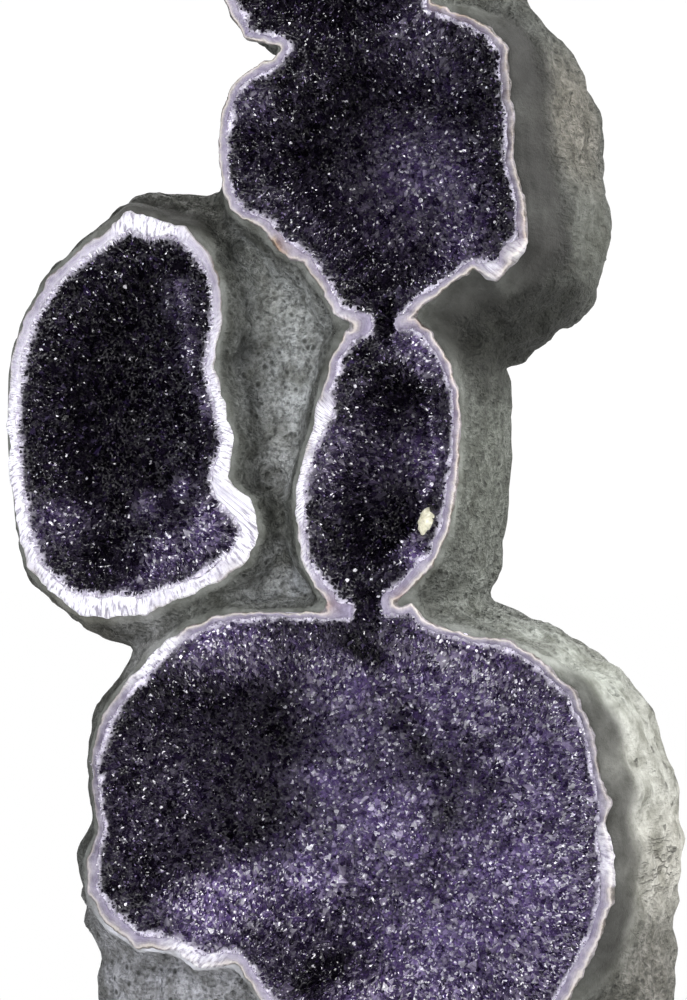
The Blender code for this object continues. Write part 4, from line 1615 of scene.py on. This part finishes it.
@dataclass
class Geode:
    """The whole stone: every piece, in the order they are made."""

    # Pools of painted light on the violet points and their bed; a weight below zero paints shade.
    main_light_spots: tuple[Spot, ...] = make_spots(
        (405, 175, 0.10, 60, 0.50), (455, 235, 0.08, 42, 0.42), (262, 105, 0.06, 16, 0.26),
        (430, 60, 0.08, 45, 0.22), (418, 455, 0.08, 36, 0.72), (430, 352, 0.06, 24, 0.55),
        (350, 450, 0.08, 44, 0.21), (180, 790, 0.08, 90, 0.09), (330, 200, 0.08, 60, 0.08),
        (417, 555, 0.02, 14, 0.86), (365, 830, 0.14, 70, 0.86), (405, 680, 0.12, 36, 0.80),
        (470, 700, 0.12, 80, 0.70), (530, 770, 0.10, 90, 0.72), (500, 890, 0.10, 110, 0.78),
        (420, 960, 0.12, 90, 0.80), (215, 905, 0.06, 40, 0.76), (285, 880, 0.06, 50, 0.70),
        (235, 640, 0.06, 46, 0.52), (322, 690, 0.08, 50, 0.74), (335, 745, 0.10, 46, 0.72),
        (305, 790, 0.10, 42, 0.62), (365, 650, 0.10, 16, -0.50), (425, 820, 0.12, 18, -0.30),
        (330, 970, 0.10, 20, -0.40), (505, 700, 0.10, 18, -0.25),
    )
    side_light_spots: tuple[Spot, ...] = make_spots(
        (176, 300, 0.05, 20, 0.40), (186, 350, 0.05, 20, 0.42), (200, 405, 0.03, 16, 0.36),
        (205, 530, 0.05, 34, 0.56), (160, 560, 0.05, 30, 0.42), (60, 525, 0.04, 20, 0.42),
        (133, 505, 0.06, 12, 0.50), (165, 490, 0.06, 12, 0.40),
    )
    side_stains: tuple[Zone, ...] = make_zones(
        (30, 585, 0.0, 24, 0.5, "#b7a792"), (240, 575, 0.0, 24, 0.5, "#b5a894"),
        (62, 300, 0.0, 62, 0.65, "#aaa5ae"), (212, 288, 0.0, 44, 0.6, "#a9a5ac"),
    )
    side_milks: tuple[Spot, ...] = make_spots(
        (12, 470, 0.0, 105, 0.9), (90, 605, 0.0, 75), (190, 588, 0.0, 40, 0.7), (245, 525, 0.0, 42),
        (222, 430, 0.0, 60), (150, 222, 0.0, 40), (208, 340, 0.0, 30, 0.4),
    )
    milks: tuple[Spot, ...] = make_spots(
        (322, 425, 0.0, 26), (304, 485, 0.0, 42, 0.9), (300, 555, 0.0, 30, 0.5), (150, 655, 0.0, 36, 0.9),
        (612, 850, 0.0, 30, 0.5), (195, 955, 0.0, 34, 0.7), (515, 250, 0.0, 14, 0.4),
        (490, 268, 0.0, 12, 0.4), (338, 322, 0.0, 14, 0.3),
    )
    lumps: tuple[Spot, ...] = make_spots(
        (327, 411, 0.0, 9, 1.3), (514, 254, 0.0, 10), (492, 270, 0.0, 8), (352, 324, 0.0, 8, 0.8),
        (404, 322, 0.0, 8, 0.8), (348, 604, 0.0, 8, 0.6), (384, 604, 0.0, 7, 0.6),
    )
    stains: tuple[Zone, ...] = make_zones(
        (280, 247, 0.0, 12, 0.95, "#c28a4a"), (330, 605, 0.0, 10, 0.7, "#c39790"),
        (340, 323, 0.0, 12, 0.6, "#cdb3b6"), (402, 596, 0.0, 9, 0.6, "#c79c98"),
        (420, 322, 0.0, 12, 0.5, "#c5a9ae"), (520, 240, 0.0, 26, 0.5, "#d2b9a2"),
        (450, 18, 0.0, 34, 0.6, "#d3bea5"), (512, 110, 0.0, 90, 0.85, "#84786e"),
        (118, 790, 0.0, 100, 0.75, "#7c7686"), (590, 740, 0.0, 100, 0.75, "#8d8894"),
        (540, 930, 0.0, 60, 0.45, "#bdb8c0"), (455, 420, 0.0, 70, 0.5, "#d8c2c2"),
        (290, 262, 0.0, 45, 0.5, "#ddd2c6"),
    )

    def build(self) -> list[bpy.types.Object]:
        """Make every piece.

        Returns:
            The pieces.
        """
        front = FrontMap()
        quartz = AgateFinish(
            name="milk_quartz",
            stops=(
                (0.0, "#5d564c"), (0.07, "#8f867b"), (0.18, "#b9b5ba"), (0.45, "#a29dae"),
                (0.7, "#bab6c4"), (1.0, "#dcdae3"),
            ),
            waver=0.12,
            whiteness=0.4,
        )
        rock = RockSkin().build(front)
        agate_rim = Rim(
            "agate_rim", "main_agate_lining", Stone.AGATE, AgateFinish(), stains=self.stains,
            milks=self.milks, lumps=self.lumps, centres=((370, 170), (375, 455), (345, 800)),
        ).build(front)
        quartz_rim = Rim(
            "quartz_rim", "side_agate_lining", Stone.QUARTZ, quartz, knobs=0.0014, stains=self.side_stains,
            milks=self.side_milks,
        ).build(front)
        made = [rock, agate_rim, quartz_rim]
        made.append(QuartzTeeth("agate_teeth", "main_agate_lining", Stone.QUARTZ).build(agate_rim, front))
        side_teeth = QuartzTeeth(
            "quartz_teeth", "side_agate_lining", Stone.QUARTZ, length=(0.003, 0.0072), radius=(0.001, 0.0018),
            foot_white=1.0, tip_white=0.6, seed=5,
        )
        made.append(side_teeth.build(quartz_rim, front))
        main_bed = CrystalBed("main", "main_crystal_crust", splits=(0.30, 0.52, 0.90), light_spots=self.main_light_spots)
        side_bed = CrystalBed("side", "side_crystal_crust", seed=21, fade=0.0044, light_spots=self.side_light_spots)
        made += main_bed.build(front)
        made += side_bed.build(front)
        made.append(Nodule().build())
        return made


def main() -> None:
    """Build the geode and its room, and report each piece."""
    logging.basicConfig(level=logging.INFO, format="%(name)s %(message)s")
    pieces = Geode().build()
    total = sum(len(piece.data.loop_triangles) for piece in pieces)
    log.info("%d pieces, %d triangles", len(pieces), total)
    Studio().build()


if __name__ == "__main__":
    main()
